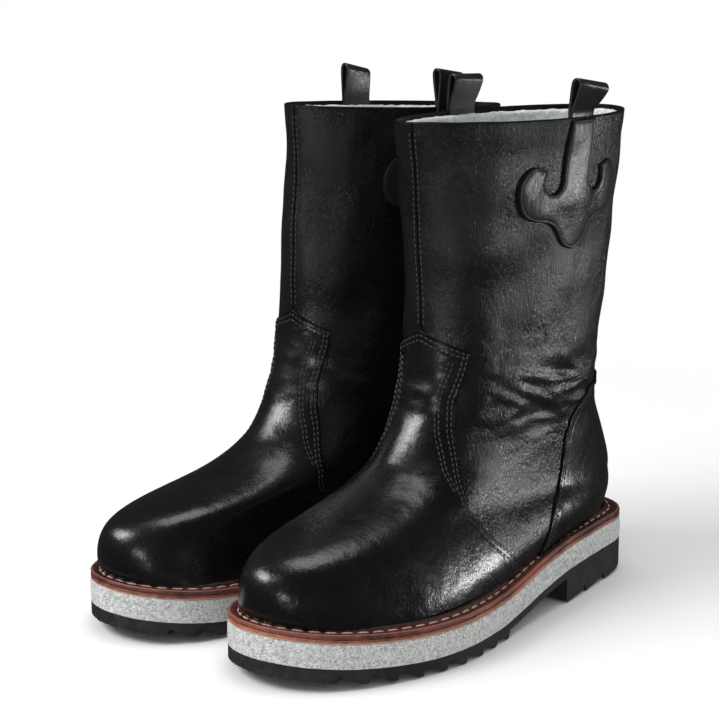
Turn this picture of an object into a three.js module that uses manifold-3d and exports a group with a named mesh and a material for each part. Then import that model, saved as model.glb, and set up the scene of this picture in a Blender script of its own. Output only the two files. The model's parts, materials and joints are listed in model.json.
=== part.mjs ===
// A pair of pull-on fire boots: welted leather foot, soft shaft, layered sole and four pull loops.
// Units are millimetres. +Z is up, the toes point to -Y and the wearer's left boot is on +X.
// The origin is on the ground, under the middle of the pair's bounding box.
//
// Each boot is built once in its own frame: origin under the middle of its sole, toe to -Y and
// outer (lateral) side to +X. The right boot is the left one mirrored.

import * as THREE from 'three';
import { mergeVertices } from 'three/addons/utils/BufferGeometryUtils.js';
import Module from 'manifold-3d';

const wasm = await Module();
wasm.setup();

// ---------------------------------------------------------------- driving dimensions

const SOLE_LENGTH = 300;
const FOREFOOT_GROUND = 7.3; // ground to midsole under the ball of the foot
const HEEL_GROUND = 19.2; // ground to midsole at the heel
const TOE_SPRING = 7.1; // extra lift at the very toe
const SPRING_START = 0.28; // share of the length where the toe spring starts
const WAIST_START = 0.42; // the sole climbs to the heel between these shares of its length
const WAIST_END = 0.75;

const OUTSOLE_WEB = 3.8; // solid rubber above the lugs
const MIDSOLE_THICK = 13.3;
const SLIP_SOLE_THICK = 2.2;
const WELT_THICK = 2.8;
const FEATHER_INSET = 7; // sole edge to the line where upper and welt meet
const WELT_WIDTH = 19;
const THREAD_INSET = 5.4; // sole edge to the middle of the welt stitching
const THREAD_WIDTH = 1.4;
const THREAD_DEPTH = 0.9;

const LUG_PITCH = 15;
const LUG_LAND = 8; // flat part of each lug
const LUG_SLOPE = 1.2; // run of each lug flank
const LUG_FRONT = -129.5; // first groove behind the ribbed toe block
const LUG_COUNT = 8;
const HEEL_BREAST = 58; // front face of the heel block
const HEEL_GROOVES = [81, 106.5];
const HEEL_GROOVE_WIDTH = 4;
const HEEL_GROOVE_DEPTH = 4;

const COLLAR_HEIGHT = 274;
const LEATHER = 2.2; // thickness of the upper's leather
const STIFFENER = 1.8; // steel toe cap and heel stiffener
const FLEECE = 3.6;
const GAP = 0.3; // clearance between neighbouring pieces
const INNER_GAP = 1.1; // the same between the layers of the upper
const STRAP_THICK = 1.5;

const ANKLE_SLICE = 0.62; // slice of the upper where the shaft bends over the foot
const ANKLE_GAP = 0.004; // slice gap at the pivot, and how it opens to the front and rear
const ANKLE_FRONT_GAP = 0.064;
const ANKLE_REAR_GAP = 0.046;

const STRAP_CENTRE = 70; // y of the sewn strap's middle
const STRAP_HALF = 11.3;
const STRAP_LEAN = 0.13; // the strap follows the rear lean of the shaft
const LOOP_RISE = 20.5;
const LOOP_PIVOT = 3; // height above the collar where the loop bends
const LOOP_CLEAR = 0.5; // height of the loop's legs above that line
const LOOP_HALF_SPAN = 3.2; // half the distance between the outer faces of the loop's two legs
const LOOP_Y = 75.5; // y of the middle of each pull loop

const BOOT_SPACING = 100.3; // between the two boots' own origins
const BOOT_STAGGER = 1.4; // the right boot stands this far forward, the left one as far back
const TOE_OUT = 2.7; // degrees that each boot's toe turns away from the other

// The right boot has settled differently from the left one.
const STRAIGHT_START = 150; // height from which its shaft stands straighter
const STRAIGHT_BACK = 13.6; // how far its front line moves back at the collar
const STRAIGHT_FADE = 0.087; // loss of that shift per millimetre behind the front line
const COLLAR_LIFT = 4.5; // how far its collar is raised at the front
const COLLAR_LIFT_FADE = 0.037; // loss of that rise per millimetre behind the front line
const INSTEP_DROP = 3; // how much lower its instep is
const INSTEP_MIDDLE = -60; // y where the instep is lowered most
const INSTEP_REACH = 45; // how far in front of and behind it the drop fades out
const MEDIAL_PRESS = 6; // how far its shaft is pressed in on the side of the left boot
const PRESS_START = 115; // heights between which the shaft is pressed in more and more
const PRESS_FULL = 172;
const PRESS_REACH = 30; // the press fades out over this distance from the medial side

// Plan outline of the sole: share of the length from the toe, fullness (the half width of an
// ellipse of the same length) and how far the middle line bows to the lateral side.
const OUTLINE = [
  [0, 77.5, -3],
  [0.15, 67.5, 0.4],
  [0.3, 59, 6.2],
  [0.45, 49.5, 7.3],
  [0.6, 45.5, 5.8],
  [0.75, 50.5, 2],
  [0.9, 66, -0.5],
  [1, 95, -0.4],
];

// Slices of the upper from the welt (0) to the collar (1). Each slice is an oval laid between a
// front point and a rear point: slice, front y z, rear y z, lean front rear, fullness front mid rear.
const SLICES = [
  [0, -143, 31.6, 143.5, 37.5, 0, 0, 70, 40, 58],
  [0.09, -147, 40, 149, 51, 0, 1, 64, 41, 58.5],
  [0.2, -144, 57.5, 151, 60.5, -1.5, 0, 53, 38.6, 56.5],
  [0.33, -108, 69.6, 150, 70.5, -4.5, 0, 47, 37, 53],
  [0.46, -45, 89, 137, 98.5, -3.5, 0, 41, 36.5, 45.5],
  [0.6, -20, 129, 131, 116, -2.5, -1, 40.5, 37, 43.5],
  [0.73, -14, 160, 137, 150, -3.5, -1, 41.5, 38.5, 45],
  [0.86, -16, 222, 151, 210, -5, -2, 41, 42, 44.5],
  [1, -24, COLLAR_HEIGHT, 164.5, COLLAR_HEIGHT, -3, -2.5, 44, 44, 43.5],
];
const SOLE_FADE = 0.38; // slices below this one follow the sole's curve
const BOW_FADE = 0.5; // slices below this one follow the sole's bowed middle line

// Seam lines on the upper: angle round the slice in degrees from the front, at a few slices.
const VAMP_EDGE = [[0, 95], [0.11, 91], [0.19, 85.5], [0.27, 79.5], [0.37, 66], [0.46, 46.5],
  [0.53, 34], [0.58, 30.5], [0.65, 34], [0.71, 36]];
const COUNTER_EDGE = [[0, 103], [0.12, 107.5], [0.23, 111], [0.36, 109], [0.45, 106.5],
  [0.5, 109.5], [0.54, 115], [0.59, 125], [0.63, 141]];
const TONGUE_PEAK = 0.737; // slice of the tongue's point, and of its two corners
const TONGUE_CORNER = 0.705;
const TONGUE_ANGLE = 36;

const COLORS = {
  leather: [0x1b1c20, 0.38, 0],
  fleece: [0xdfe3e0, 1, 0],
  steel: [0x8d9196, 0.35, 1],
  board: [0x8a6a48, 0.9, 0],
  cork: [0xa5764a, 1, 0],
  welt: [0x8f4630, 0.6, 0],
  thread: [0xe2c9bd, 0.8, 0],
  midsole: [0xc9cac8, 0.9, 0],
  rubber: [0x1d1d1e, 0.8, 0],
};

// ---------------------------------------------------------------- small maths

const radians = THREE.MathUtils.degToRad;
const mix = THREE.MathUtils.lerp;
const smooth = THREE.MathUtils.smoothstep;

/** Evenly spaced numbers from first to last, both included. */
function steps(first, last, count) {
  return Array.from({ length: count + 1 }, (_, i) => mix(first, last, i / count));
}

/** A natural cubic spline through rows of [x, a, b, ...]; returns x => [a, b, ...]. */
function splineThrough(rows) {
  const xs = rows.map((row) => row[0]);
  const last = rows.length - 1;
  const channels = rows[0].slice(1).map((_, c) => bendOf(xs, rows.map((row) => row[c + 1])));
  return (x) => {
    let i = 0;
    while (i < last - 1 && x > xs[i + 1]) i += 1;
    const width = xs[i + 1] - xs[i];
    const before = xs[i + 1] - x;
    const after = x - xs[i];
    return channels.map(({ ys, bend }) => {
      const cubic = (bend[i] * before ** 3 + bend[i + 1] * after ** 3) / (6 * width);
      const left = (ys[i] / width - (bend[i] * width) / 6) * before;
      const right = (ys[i + 1] / width - (bend[i + 1] * width) / 6) * after;
      return cubic + left + right;
    });
  };
}

/** Second derivatives of a natural spline, by forward elimination and back substitution. */
function bendOf(xs, ys) {
  const last = xs.length - 1;
  const factor = [0];
  const value = [0];
  for (let i = 1; i < last; i += 1) {
    const before = xs[i] - xs[i - 1];
    const after = xs[i + 1] - xs[i];
    const change = (ys[i + 1] - ys[i]) / after - (ys[i] - ys[i - 1]) / before;
    const pivot = 2 * (before + after) - before * factor[i - 1];
    factor[i] = after / pivot;
    value[i] = (6 * change - before * value[i - 1]) / pivot;
  }
  const bend = new Array(last + 1).fill(0);
  for (let i = last - 1; i > 0; i -= 1) bend[i] = value[i] - factor[i] * bend[i + 1];
  return { ys, bend };
}

/** Straight-line reading of a table of [x, y] pairs. */
function readTable(table, x) {
  for (let i = 1; i < table.length; i += 1) {
    if (x <= table[i][0]) {
      const [x0, y0] = table[i - 1];
      const [x1, y1] = table[i];
      return mix(y0, y1, (x - x0) / (x1 - x0));
    }
  }
  return table[table.length - 1][1];
}

// ---------------------------------------------------------------- shape of the sole and upper

const outlineAt = splineThrough(OUTLINE);
const sliceAt = splineThrough(SLICES);

/** Share of the sole's length at y: 0 at the toe, 1 at the heel. */
function shareAt(y) {
  return THREE.MathUtils.clamp(y / SOLE_LENGTH + 0.5, 0, 1);
}

/** Height of the midsole's underside. */
function midsoleUnder(y) {
  const share = shareAt(y);
  const climb = smooth(share, WAIST_START, WAIST_END);
  const spring = Math.max(0, 1 - share / SPRING_START) ** 2;
  return mix(FOREFOOT_GROUND, HEEL_GROUND, climb) + TOE_SPRING * spring;
}

/** Height of the surface that the upper stands on. */
function featherHeight(y) {
  return midsoleUnder(y) + MIDSOLE_THICK + SLIP_SOLE_THICK + WELT_THICK;
}

/** A point on the sole's outline, moved inwards by inset. */
function solePoint(angle, inset) {
  const y = -Math.cos(angle) * (SOLE_LENGTH / 2 - inset);
  const [fullness, bow] = outlineAt(shareAt(y));
  return [bow + Math.sin(angle) * (fullness - inset), y];
}

/** A point on the outer face of the upper, at an angle round the slice from the front. */
function upperPoint(angle, slice) {
  const [yFront, zFront, yRear, zRear, leanFront, leanRear, ...fullness] = sliceAt(slice);
  const share = (1 - Math.cos(angle)) / 2;
  const y = mix(yFront, yRear, share);
  const [full] = splineThrough([[0, fullness[0]], [0.5, fullness[1]], [1, fullness[2]]])(share);
  const bow = outlineAt(shareAt(y))[1] * Math.max(0, 1 - slice / BOW_FADE);
  const follow = 1 - smooth(slice, 0, SOLE_FADE);
  const front = zFront - follow * featherHeight(yFront);
  const rear = zRear - follow * featherHeight(yRear);
  return new THREE.Vector3(
    bow + mix(leanFront, leanRear, share) + Math.sin(angle) * full,
    y,
    mix(front, rear, share) + follow * featherHeight(y),
  );
}

/** The same point moved out (or in) along the surface's normal. */
function upperOffset(angle, slice, offset) {
  const dAngle = 0.01;
  const dSlice = 0.004;
  const low = Math.max(0, slice - dSlice);
  const high = Math.min(1, slice + dSlice);
  const round = upperPoint(angle + dAngle, slice).sub(upperPoint(angle - dAngle, slice));
  const rise = upperPoint(angle, high).sub(upperPoint(angle, low));
  return upperPoint(angle, slice).addScaledVector(round.cross(rise).normalize(), offset);
}

/** Slice and angle of the shaft's wall at a given y and z, on the side +1 or -1. */
function wallPlace(y, z, side) {
  let low = 0.5;
  let high = 1.2;
  let angle = Math.PI / 2;
  for (let i = 0; i < 30; i += 1) {
    const slice = (low + high) / 2;
    const [yFront, zFront, yRear, zRear] = sliceAt(slice);
    const share = THREE.MathUtils.clamp((y - yFront) / (yRear - yFront), 0, 1);
    angle = Math.acos(1 - 2 * share);
    if (mix(zFront, zRear, share) < z) low = slice;
    else high = slice;
  }
  return [side * angle, Math.min(low, 1)];
}

/** Lowest slice of the shaft's pieces; the gap under it opens to the front and rear. */
function shaftStart(angle) {
  const reach = Math.cos(angle);
  const opening = reach > 0 ? ANKLE_FRONT_GAP : ANKLE_REAR_GAP;
  return ANKLE_SLICE + ANKLE_GAP + opening * Math.abs(reach);
}

// ---------------------------------------------------------------- closed solids

/** A closed body from numbered points and faces, turned outward if it came out inside out. */
function closedBody(points, faces) {
  let volume = 0;
  for (const [a, b, c] of faces) {
    volume += points[a].dot(points[b].clone().cross(points[c]));
  }
  const index = volume > 0 ? faces.flat() : faces.flatMap(([a, b, c]) => [a, c, b]);
  const geometry = new THREE.BufferGeometry();
  geometry.setAttribute('position', new THREE.Float32BufferAttribute(
    points.flatMap((point) => point.toArray()), 3));
  geometry.setIndex(index);
  geometry.computeVertexNormals();
  return geometry;
}

/** Two triangles for the cell between rows i, i2 and columns j, j2. */
function cell(id, i, i2, j, j2) {
  return [[id(i, j), id(i, j2), id(i2, j2)], [id(i, j), id(i2, j2), id(i2, j)]];
}

/** A sheet with thickness: two grids of points of one size, joined round their rims. */
function thickSheet(outer, inner, wraps = false) {
  const rows = outer.length;
  const columns = outer[0].length;
  const outerId = (i, j) => i * columns + j;
  const innerId = (i, j) => rows * columns + i * columns + j;
  const faces = [];
  const lastColumn = wraps ? columns : columns - 1;
  for (let j = 0; j < lastColumn; j += 1) {
    const j2 = (j + 1) % columns;
    for (let i = 0; i < rows - 1; i += 1) {
      faces.push(...cell(outerId, i, i + 1, j, j2), ...cell(innerId, i, i + 1, j2, j));
    }
    for (const [i, from, to] of [[0, j2, j], [rows - 1, j, j2]]) {
      faces.push([outerId(i, from), outerId(i, to), innerId(i, to)]);
      faces.push([outerId(i, from), innerId(i, to), innerId(i, from)]);
    }
  }
  if (!wraps) {
    for (let i = 0; i < rows - 1; i += 1) {
      for (const [j, from, to] of [[0, i, i + 1], [columns - 1, i + 1, i]]) {
        faces.push([outerId(from, j), outerId(to, j), innerId(to, j)]);
        faces.push([outerId(from, j), innerId(to, j), innerId(from, j)]);
      }
    }
  }
  return closedBody([...outer.flat(), ...inner.flat()], faces);
}

/** A closed ring: loops of points that join end to end. */
function loopedSweep(loops) {
  const count = loops.length;
  const around = loops[0].length;
  const id = (i, j) => (i % count) * around + (j % around);
  const faces = [];
  for (let i = 0; i < count; i += 1) {
    for (let j = 0; j < around; j += 1) faces.push(...cell(id, i, i + 1, j, j + 1));
  }
  return closedBody(loops.flat(), faces);
}

/** A closed geometry as a manifold solid. */
function solidOf(geometry) {
  const bare = geometry.clone();
  bare.deleteAttribute('normal');
  bare.deleteAttribute('uv');
  const merged = mergeVertices(bare);
  return new wasm.Manifold(new wasm.Mesh({
    numProp: 3,
    vertProperties: new Float32Array(merged.getAttribute('position').array),
    triVerts: new Uint32Array(merged.getIndex().array),
  }));
}

/** A manifold solid as a geometry. */
function geometryOf(solid) {
  const { vertProperties, triVerts } = solid.getMesh();
  const geometry = new THREE.BufferGeometry();
  geometry.setAttribute('position', new THREE.BufferAttribute(vertProperties, 3));
  geometry.setIndex(new THREE.BufferAttribute(triVerts, 1));
  geometry.computeVertexNormals();
  return geometry;
}

/** Part of the upper with thickness, over rows of slices and columns of angles. */
function upperPanel(places, outerOffset, innerOffset, wraps = false) {
  const layer = (offset) => places.map((row) => row.map(([angle, slice]) =>
    upperOffset(angle, slice, offset)));
  return thickSheet(layer(outerOffset), layer(innerOffset), wraps);
}

/** A sole layer between two heights that follow the sole's length. */
function soleLayer(inset, under, over, from = 3, to = 177, count = 24) {
  const level = (height) => steps(from, to, count).map((degrees) => [-1, 1].map((side) => {
    const [x, y] = solePoint(side * radians(degrees), inset);
    return new THREE.Vector3(x, y, height(y));
  }));
  return thickSheet(level(over), level(under));
}

/** A sole piece with its own underside profile: stations of [y, height of the underside]. */
function treadPiece(stations, over) {
  const level = (height) => stations.map(([y, under]) => [-1, 1].map((side) => {
    const angle = Math.acos(THREE.MathUtils.clamp(-2 * y / SOLE_LENGTH, -1, 1));
    return new THREE.Vector3(solePoint(side * angle, 0)[0], y, height(y, under));
  }));
  return thickSheet(level(over), level((y, under) => under));
}

// ---------------------------------------------------------------- pieces of the foot

const FOOT_SLICES = [0.01, 0.06, 0.12, 0.18, 0.23, 0.27, 0.31, 0.38, 0.46, 0.54, ANKLE_SLICE - ANKLE_GAP];
const HIDDEN_START = 0.055; // the hidden layers start above the welt
const TOE_CAP_TOP = 0.31;
const STIFFENER_TOP = 0.46;
const EDGE_GAP = 0.5; // degrees between neighbouring panels

/** Rows of places between two edges that are given in degrees at each slice. */
function betweenEdges(slices, firstEdge, lastEdge, columns) {
  return slices.map((slice) => steps(firstEdge(slice), lastEdge(slice), columns)
    .map((degrees) => [radians(degrees), slice]));
}

function vamp() {
  const edge = (slice) => readTable(VAMP_EDGE, slice) - EDGE_GAP;
  return upperPanel(betweenEdges(FOOT_SLICES, (s) => -edge(s), edge, 12), 0, -LEATHER);
}

function quarterFoot(side) {
  const front = (slice) => side * (readTable(VAMP_EDGE, slice) + EDGE_GAP);
  const rear = (slice) => side * (readTable(COUNTER_EDGE, slice) - EDGE_GAP);
  return upperPanel(betweenEdges(FOOT_SLICES, front, rear, 4), 0, -LEATHER);
}

function counterCover() {
  const edge = (slice) => readTable(COUNTER_EDGE, slice) + EDGE_GAP;
  return upperPanel(betweenEdges(FOOT_SLICES, edge, (s) => 360 - edge(s), 10), 0, -LEATHER);
}

/** A stiff panel between the leather and the lining, from the sole up to a top slice. */
function innerPanel(top, halfAngle, middle) {
  const outer = -(LEATHER + INNER_GAP);
  const slices = FOOT_SLICES.filter((slice) => slice > HIDDEN_START && slice <= top);
  const rows = betweenEdges([HIDDEN_START, ...slices.slice(1)], () => middle - halfAngle,
    () => middle + halfAngle, 10);
  return upperPanel(rows, outer, outer - STIFFENER);
}

const toeCap = () => innerPanel(TOE_CAP_TOP, 62, 0);
const heelStiffener = () => innerPanel(STIFFENER_TOP, 66, 180);

function liningFoot() {
  const outer = -(LEATHER + STIFFENER + 2 * INNER_GAP);
  const angles = steps(0, 360, 26).slice(0, -1);
  const rows = [HIDDEN_START, ...FOOT_SLICES.slice(2)].map((slice) =>
    angles.map((degrees) => [radians(degrees), slice]));
  return upperPanel(rows, outer, outer - FLEECE, true);
}

// ---------------------------------------------------------------- pieces of the sole

const aboveFeather = (height) => (y) => featherHeight(y) + height;
const aboveMidsole = (height) => (y) => midsoleUnder(y) + height;
const BOARD_INSET = FEATHER_INSET + LEATHER + STIFFENER + FLEECE + 5.4;

const insoleBoard = () => soleLayer(BOARD_INSET, aboveFeather(GAP), aboveFeather(2.8));
const footbed = () => soleLayer(BOARD_INSET + 3.4, aboveFeather(3.1), aboveFeather(7.6));
const CAVITY_INSET = WELT_WIDTH + 1;
const CAVITY_FLOOR = GAP - WELT_THICK;
const PLATE_UNDER = -0.9;

function puncturePlate() {
  return soleLayer(CAVITY_INSET, aboveFeather(PLATE_UNDER), aboveFeather(-GAP));
}

function corkFiller() {
  return soleLayer(CAVITY_INSET, aboveFeather(CAVITY_FLOOR), aboveFeather(-1.2), 3, 97, 12);
}

function shank() {
  const [front, rear, half] = [20, 118, 9];
  const strip = (height) => steps(front, rear, 8).map((y) => [-half, half].map((x) =>
    new THREE.Vector3(x + outlineAt(shareAt(y))[1], y, featherHeight(y) + height)));
  return thickSheet(strip(-1.2), strip(CAVITY_FLOOR));
}

/** A ring round the sole whose section is a list of [inset, height above the midsole's top]. */
function soleRing(section, count = 40) {
  const base = MIDSOLE_THICK + SLIP_SOLE_THICK;
  return loopedSweep(steps(0, 360, count).slice(0, -1).map((degrees) =>
    section.map(([inset, height]) => {
      const [x, y] = solePoint(radians(degrees), inset);
      return new THREE.Vector3(x, y, midsoleUnder(y) + base + height);
    })));
}

function welt() {
  const half = THREAD_WIDTH / 2 + GAP;
  const floor = WELT_THICK - THREAD_DEPTH - GAP;
  const top = WELT_THICK - GAP;
  return soleRing([
    [0, GAP], [0, top], [THREAD_INSET - half, top], [THREAD_INSET - half, floor],
    [THREAD_INSET + half, floor], [THREAD_INSET + half, top], [WELT_WIDTH, top], [WELT_WIDTH, GAP],
  ]);
}

function weltThread() {
  const half = THREAD_WIDTH / 2;
  const top = WELT_THICK - GAP;
  const floor = top - THREAD_DEPTH + GAP;
  return soleRing([
    [THREAD_INSET - half, floor], [THREAD_INSET - half, top],
    [THREAD_INSET + half, top], [THREAD_INSET + half, floor],
  ]);
}

function slipSole() {
  const top = MIDSOLE_THICK + SLIP_SOLE_THICK - GAP;
  return soleLayer(0, aboveMidsole(MIDSOLE_THICK), aboveMidsole(top));
}

const midsole = () => soleLayer(0, aboveMidsole(GAP), aboveMidsole(MIDSOLE_THICK - GAP));

/** Underside of the outsole: a plain toe block, a row of lugs, then the smooth waist and heel seat. */
function outsole() {
  const half = SOLE_LENGTH / 2;
  const web = (y) => midsoleUnder(y) - OUTSOLE_WEB;
  const ground = (y) => TOE_SPRING * Math.max(0, 1 - shareAt(y) / SPRING_START) ** 2;
  const stations = steps(3, 32, 5).map((degrees) => -Math.cos(radians(degrees)) * half)
    .filter((y) => y < LUG_FRONT).map((y) => [y, ground(y)]);
  for (let lug = 0; lug < LUG_COUNT; lug += 1) {
    const start = LUG_FRONT + lug * LUG_PITCH;
    const land = start + LUG_PITCH - LUG_LAND;
    stations.push([start, ground(start)], [start + LUG_SLOPE, web(start)]);
    stations.push([land - LUG_SLOPE, web(land)], [land, ground(land)]);
  }
  const waist = LUG_FRONT + LUG_COUNT * LUG_PITCH;
  stations.push([waist, ground(waist)], [waist + LUG_SLOPE, web(waist)]);
  for (const degrees of steps(95, 177, 12)) {
    const y = -Math.cos(radians(degrees)) * half;
    stations.push([y, web(y)]);
  }
  return treadPiece(stations, (y) => midsoleUnder(y));
}

function heelBlock() {
  const half = SOLE_LENGTH / 2;
  const stations = [[HEEL_BREAST, 0]];
  for (const middle of HEEL_GROOVES) {
    const edge = HEEL_GROOVE_WIDTH / 2;
    stations.push([middle - edge, 0], [middle - edge + LUG_SLOPE, HEEL_GROOVE_DEPTH]);
    stations.push([middle + edge - LUG_SLOPE, HEEL_GROOVE_DEPTH], [middle + edge, 0]);
  }
  for (const degrees of steps(148, 177, 5)) stations.push([-Math.cos(radians(degrees)) * half, 0]);
  return treadPiece(stations, (y) => midsoleUnder(y) - OUTSOLE_WEB - GAP);
}

// ---------------------------------------------------------------- pieces of the shaft

/** Rows that run from a starting slice, given for each column, up to the collar. */
function upToCollar(angles, start, rows) {
  return steps(0, 1, rows).map((share) => angles.map((degrees) => {
    const angle = radians(degrees);
    return [angle, mix(start(angle), 1, share)];
  }));
}

const tonguePeak = (angle) => mix(TONGUE_PEAK, TONGUE_CORNER, Math.abs(angle) / radians(TONGUE_ANGLE));

/** Places of a shaft quarter, from the tongue and ankle up to the collar. */
function quarterPlaces(side) {
  const angles = [EDGE_GAP, 12, 24, TONGUE_ANGLE, TONGUE_ANGLE + 1, 50, 65, 80, 95, 110, 125, 140, 155,
    168, 180 - EDGE_GAP];
  const start = (angle) => {
    const inTongue = Math.abs(angle) <= radians(TONGUE_ANGLE);
    return inTongue ? tonguePeak(angle) + ANKLE_GAP : shaftStart(angle);
  };
  return upToCollar(angles.map((a) => side * a), start, 5);
}

function quarterShaft(side) {
  return upperPanel(quarterPlaces(side), 0, -LEATHER);
}

function vampTongue() {
  const half = radians(TONGUE_ANGLE - EDGE_GAP);
  const rows = steps(0, 1, 3).map((share) => steps(-half, half, 6).map((angle) =>
    [angle, mix(shaftStart(angle), tonguePeak(angle), share)]));
  return upperPanel(rows, 0, -LEATHER);
}

function liningShaft() {
  const outer = -(LEATHER + INNER_GAP);
  const angles = steps(0, 360, 26).slice(0, -1);
  return upperPanel(upToCollar(angles, shaftStart, 5), outer, outer - FLEECE, true);
}

/** Half of the sewn strap's outline: a band that opens into a curled lobe and ends in a point. */
function strapHalf() {
  const curl = steps(180, 340, 6).map((degrees) =>
    [19.5 + 8 * Math.cos(radians(degrees)), 241 + 8 * Math.sin(radians(degrees))]);
  const lobe = new THREE.SplineCurve([[25, 246], [34, 248.5], [42, 243], [44.5, 233], [41, 223.5],
    [33, 219], [22, 217], [14.5, 211.5], [9, 204.5], [0, 201]].map(([y, z]) => new THREE.Vector2(y, z)));
  return [[STRAP_HALF, COLLAR_HEIGHT + 5], ...curl,
    ...lobe.getSpacedPoints(14).map((point) => point.toArray())];
}

/** The sewn strap: a skin over the quarter, trimmed to the strap's outline as seen from the side. */
function strap(side) {
  const half = strapHalf();
  const outline = [...half, ...half.slice(0, -1).reverse().map(([y, z]) => [-y, z])]
    .map(([y, z]) => new THREE.Vector2(STRAP_CENTRE + y + STRAP_LEAN * Math.max(0, z - 240), z));
  const blank = new THREE.ExtrudeGeometry(new THREE.Shape(outline), { depth: 80, bevelEnabled: false });
  blank.rotateX(Math.PI / 2).rotateZ(Math.PI / 2);
  if (side < 0) blank.translate(-80, 0, 0);
  const skin = upperPanel(quarterPlaces(side), GAP + STRAP_THICK, GAP);
  return geometryOf(solidOf(skin).intersect(solidOf(blank)));
}

/** An upside-down U of strap, from the line where it bends up to its rounded top. */
function pullLoop() {
  const crown = LOOP_RISE - LOOP_PIVOT - LOOP_HALF_SPAN;
  const side = (radius) => [[radius, LOOP_CLEAR],
    ...steps(0, 180, 8).map((degrees) =>
      [radius * Math.cos(radians(degrees)), crown + radius * Math.sin(radians(degrees))]),
    [-radius, LOOP_CLEAR]];
  const sheet = (radius) => [-STRAP_HALF, STRAP_HALF].map((y) =>
    side(radius).map(([x, z]) => new THREE.Vector3(x, y, z)));
  return thickSheet(sheet(LOOP_HALF_SPAN), sheet(LOOP_HALF_SPAN - STRAP_THICK));
}

/** Where a pull loop stands on the middle of the collar's edge. */
function loopPlace(side) {
  const [angle] = wallPlace(LOOP_Y, COLLAR_HEIGHT, side);
  return upperOffset(angle, 1, -(LEATHER + FLEECE + GAP) / 2).setZ(COLLAR_HEIGHT);
}

// ---------------------------------------------------------------- assembly

/** Moves a point of a boot to the right boot's shape, before that is mirrored. */
function settled(point) {
  const { x, y, z } = point;
  const share = Math.max(0, (z - STRAIGHT_START) / (COLLAR_HEIGHT - STRAIGHT_START)) ** 2;
  const behind = y - SLICES[SLICES.length - 1][1];
  const instep = Math.exp(-(((y - INSTEP_MIDDLE) / INSTEP_REACH) ** 2));
  const drop = INSTEP_DROP * instep * smooth(z, 50, 85) * (1 - smooth(z, 110, 150));
  const press = MEDIAL_PRESS * smooth(z, PRESS_START, PRESS_FULL) * smooth(-x, 0, PRESS_REACH);
  point.x += press;
  point.y += share * (STRAIGHT_BACK - STRAIGHT_FADE * behind);
  point.z += share * (COLLAR_LIFT - COLLAR_LIFT_FADE * behind) - drop;
  return point;
}

/** A piece of the left boot turned into one of the right boot: settled, then mirrored in X. */
function rightHanded(geometry) {
  const copy = geometry.clone();
  const place = copy.getAttribute('position');
  for (let i = 0; i < place.count; i += 1) {
    place.setXYZ(i, ...settled(new THREE.Vector3().fromBufferAttribute(place, i)).toArray());
  }
  copy.scale(-1, 1, 1);
  const index = copy.getIndex();
  for (let i = 0; i < index.count; i += 3) {
    const second = index.getX(i + 1);
    index.setX(i + 1, index.getX(i + 2));
    index.setX(i + 2, second);
  }
  copy.computeVertexNormals();
  return copy;
}

const PIECES = {
  vamp: ['leather', vamp()],
  quarter_lateral_foot: ['leather', quarterFoot(1)],
  quarter_medial_foot: ['leather', quarterFoot(-1)],
  counter_cover: ['leather', counterCover()],
  toe_cap: ['steel', toeCap()],
  heel_stiffener: ['board', heelStiffener()],
  lining_foot: ['fleece', liningFoot()],
  footbed: ['fleece', footbed()],
  insole_board: ['board', insoleBoard()],
  puncture_plate: ['steel', puncturePlate()],
  shank: ['steel', shank()],
  cork_filler: ['cork', corkFiller()],
  welt: ['welt', welt()],
  welt_thread: ['thread', weltThread()],
  slip_sole: ['welt', slipSole()],
  midsole: ['midsole', midsole()],
  outsole: ['rubber', outsole()],
  heel_block: ['rubber', heelBlock()],
  vamp_tongue: ['leather', vampTongue()],
  quarter_lateral_shaft: ['leather', quarterShaft(1)],
  quarter_medial_shaft: ['leather', quarterShaft(-1)],
  lining_shaft: ['fleece', liningShaft()],
  strap_lateral: ['leather', strap(1)],
  strap_medial: ['leather', strap(-1)],
};

function material(name) {
  const [color, roughness, metalness] = COLORS[name];
  return new THREE.MeshStandardMaterial({ color, roughness, metalness });
}

/** One boot: hand is +1 for the left and -1 for the right; leans tip its loops towards +X. */
function boot(name, hand, leans) {
  const group = new THREE.Group();
  for (const [piece, [finish, geometry]] of Object.entries(PIECES)) {
    const mesh = new THREE.Mesh(hand > 0 ? geometry : rightHanded(geometry), material(finish));
    mesh.name = `${name}_${piece}`;
    group.add(mesh);
  }
  for (const [place, side] of [['lateral', 1], ['medial', -1]]) {
    const loop = new THREE.Mesh(pullLoop(), material('leather'));
    loop.name = `${name}_pull_loop_${place}`;
    loop.position.copy(hand > 0 ? loopPlace(side) : settled(loopPlace(side)));
    loop.position.x *= hand;
    loop.position.z += LOOP_PIVOT;
    loop.rotation.y = radians(leans[place]);
    group.add(loop);
  }
  group.position.set(hand * BOOT_SPACING / 2, hand * BOOT_STAGGER, 0);
  group.rotation.z = radians(hand * TOE_OUT);
  return group;
}

const pair = new THREE.Group();
pair.add(boot('left', 1, { lateral: 22, medial: 14 }), boot('right', -1, { lateral: 0, medial: 0 }));
const centre = new THREE.Box3().setFromObject(pair, true).getCenter(new THREE.Vector3());
pair.position.set(-centre.x, -centre.y, 0);

const root = new THREE.Group();
root.add(pair);

export default root;
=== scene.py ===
"""A pair of black leather pull-on fire boots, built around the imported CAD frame.

Each boot is drawn in its own frame in millimetres (origin under the middle of the sole, toe to -Y,
outer side to +X), then placed in the row frame in metres. The right boot is the left one, changed by
settled() into its own shape and then mirrored.
"""
import json
import math
from itertools import product

import bpy
import numpy as np
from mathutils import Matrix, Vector
from mathutils.geometry import delaunay_2d_cdt
from mathutils.kdtree import KDTree


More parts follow.
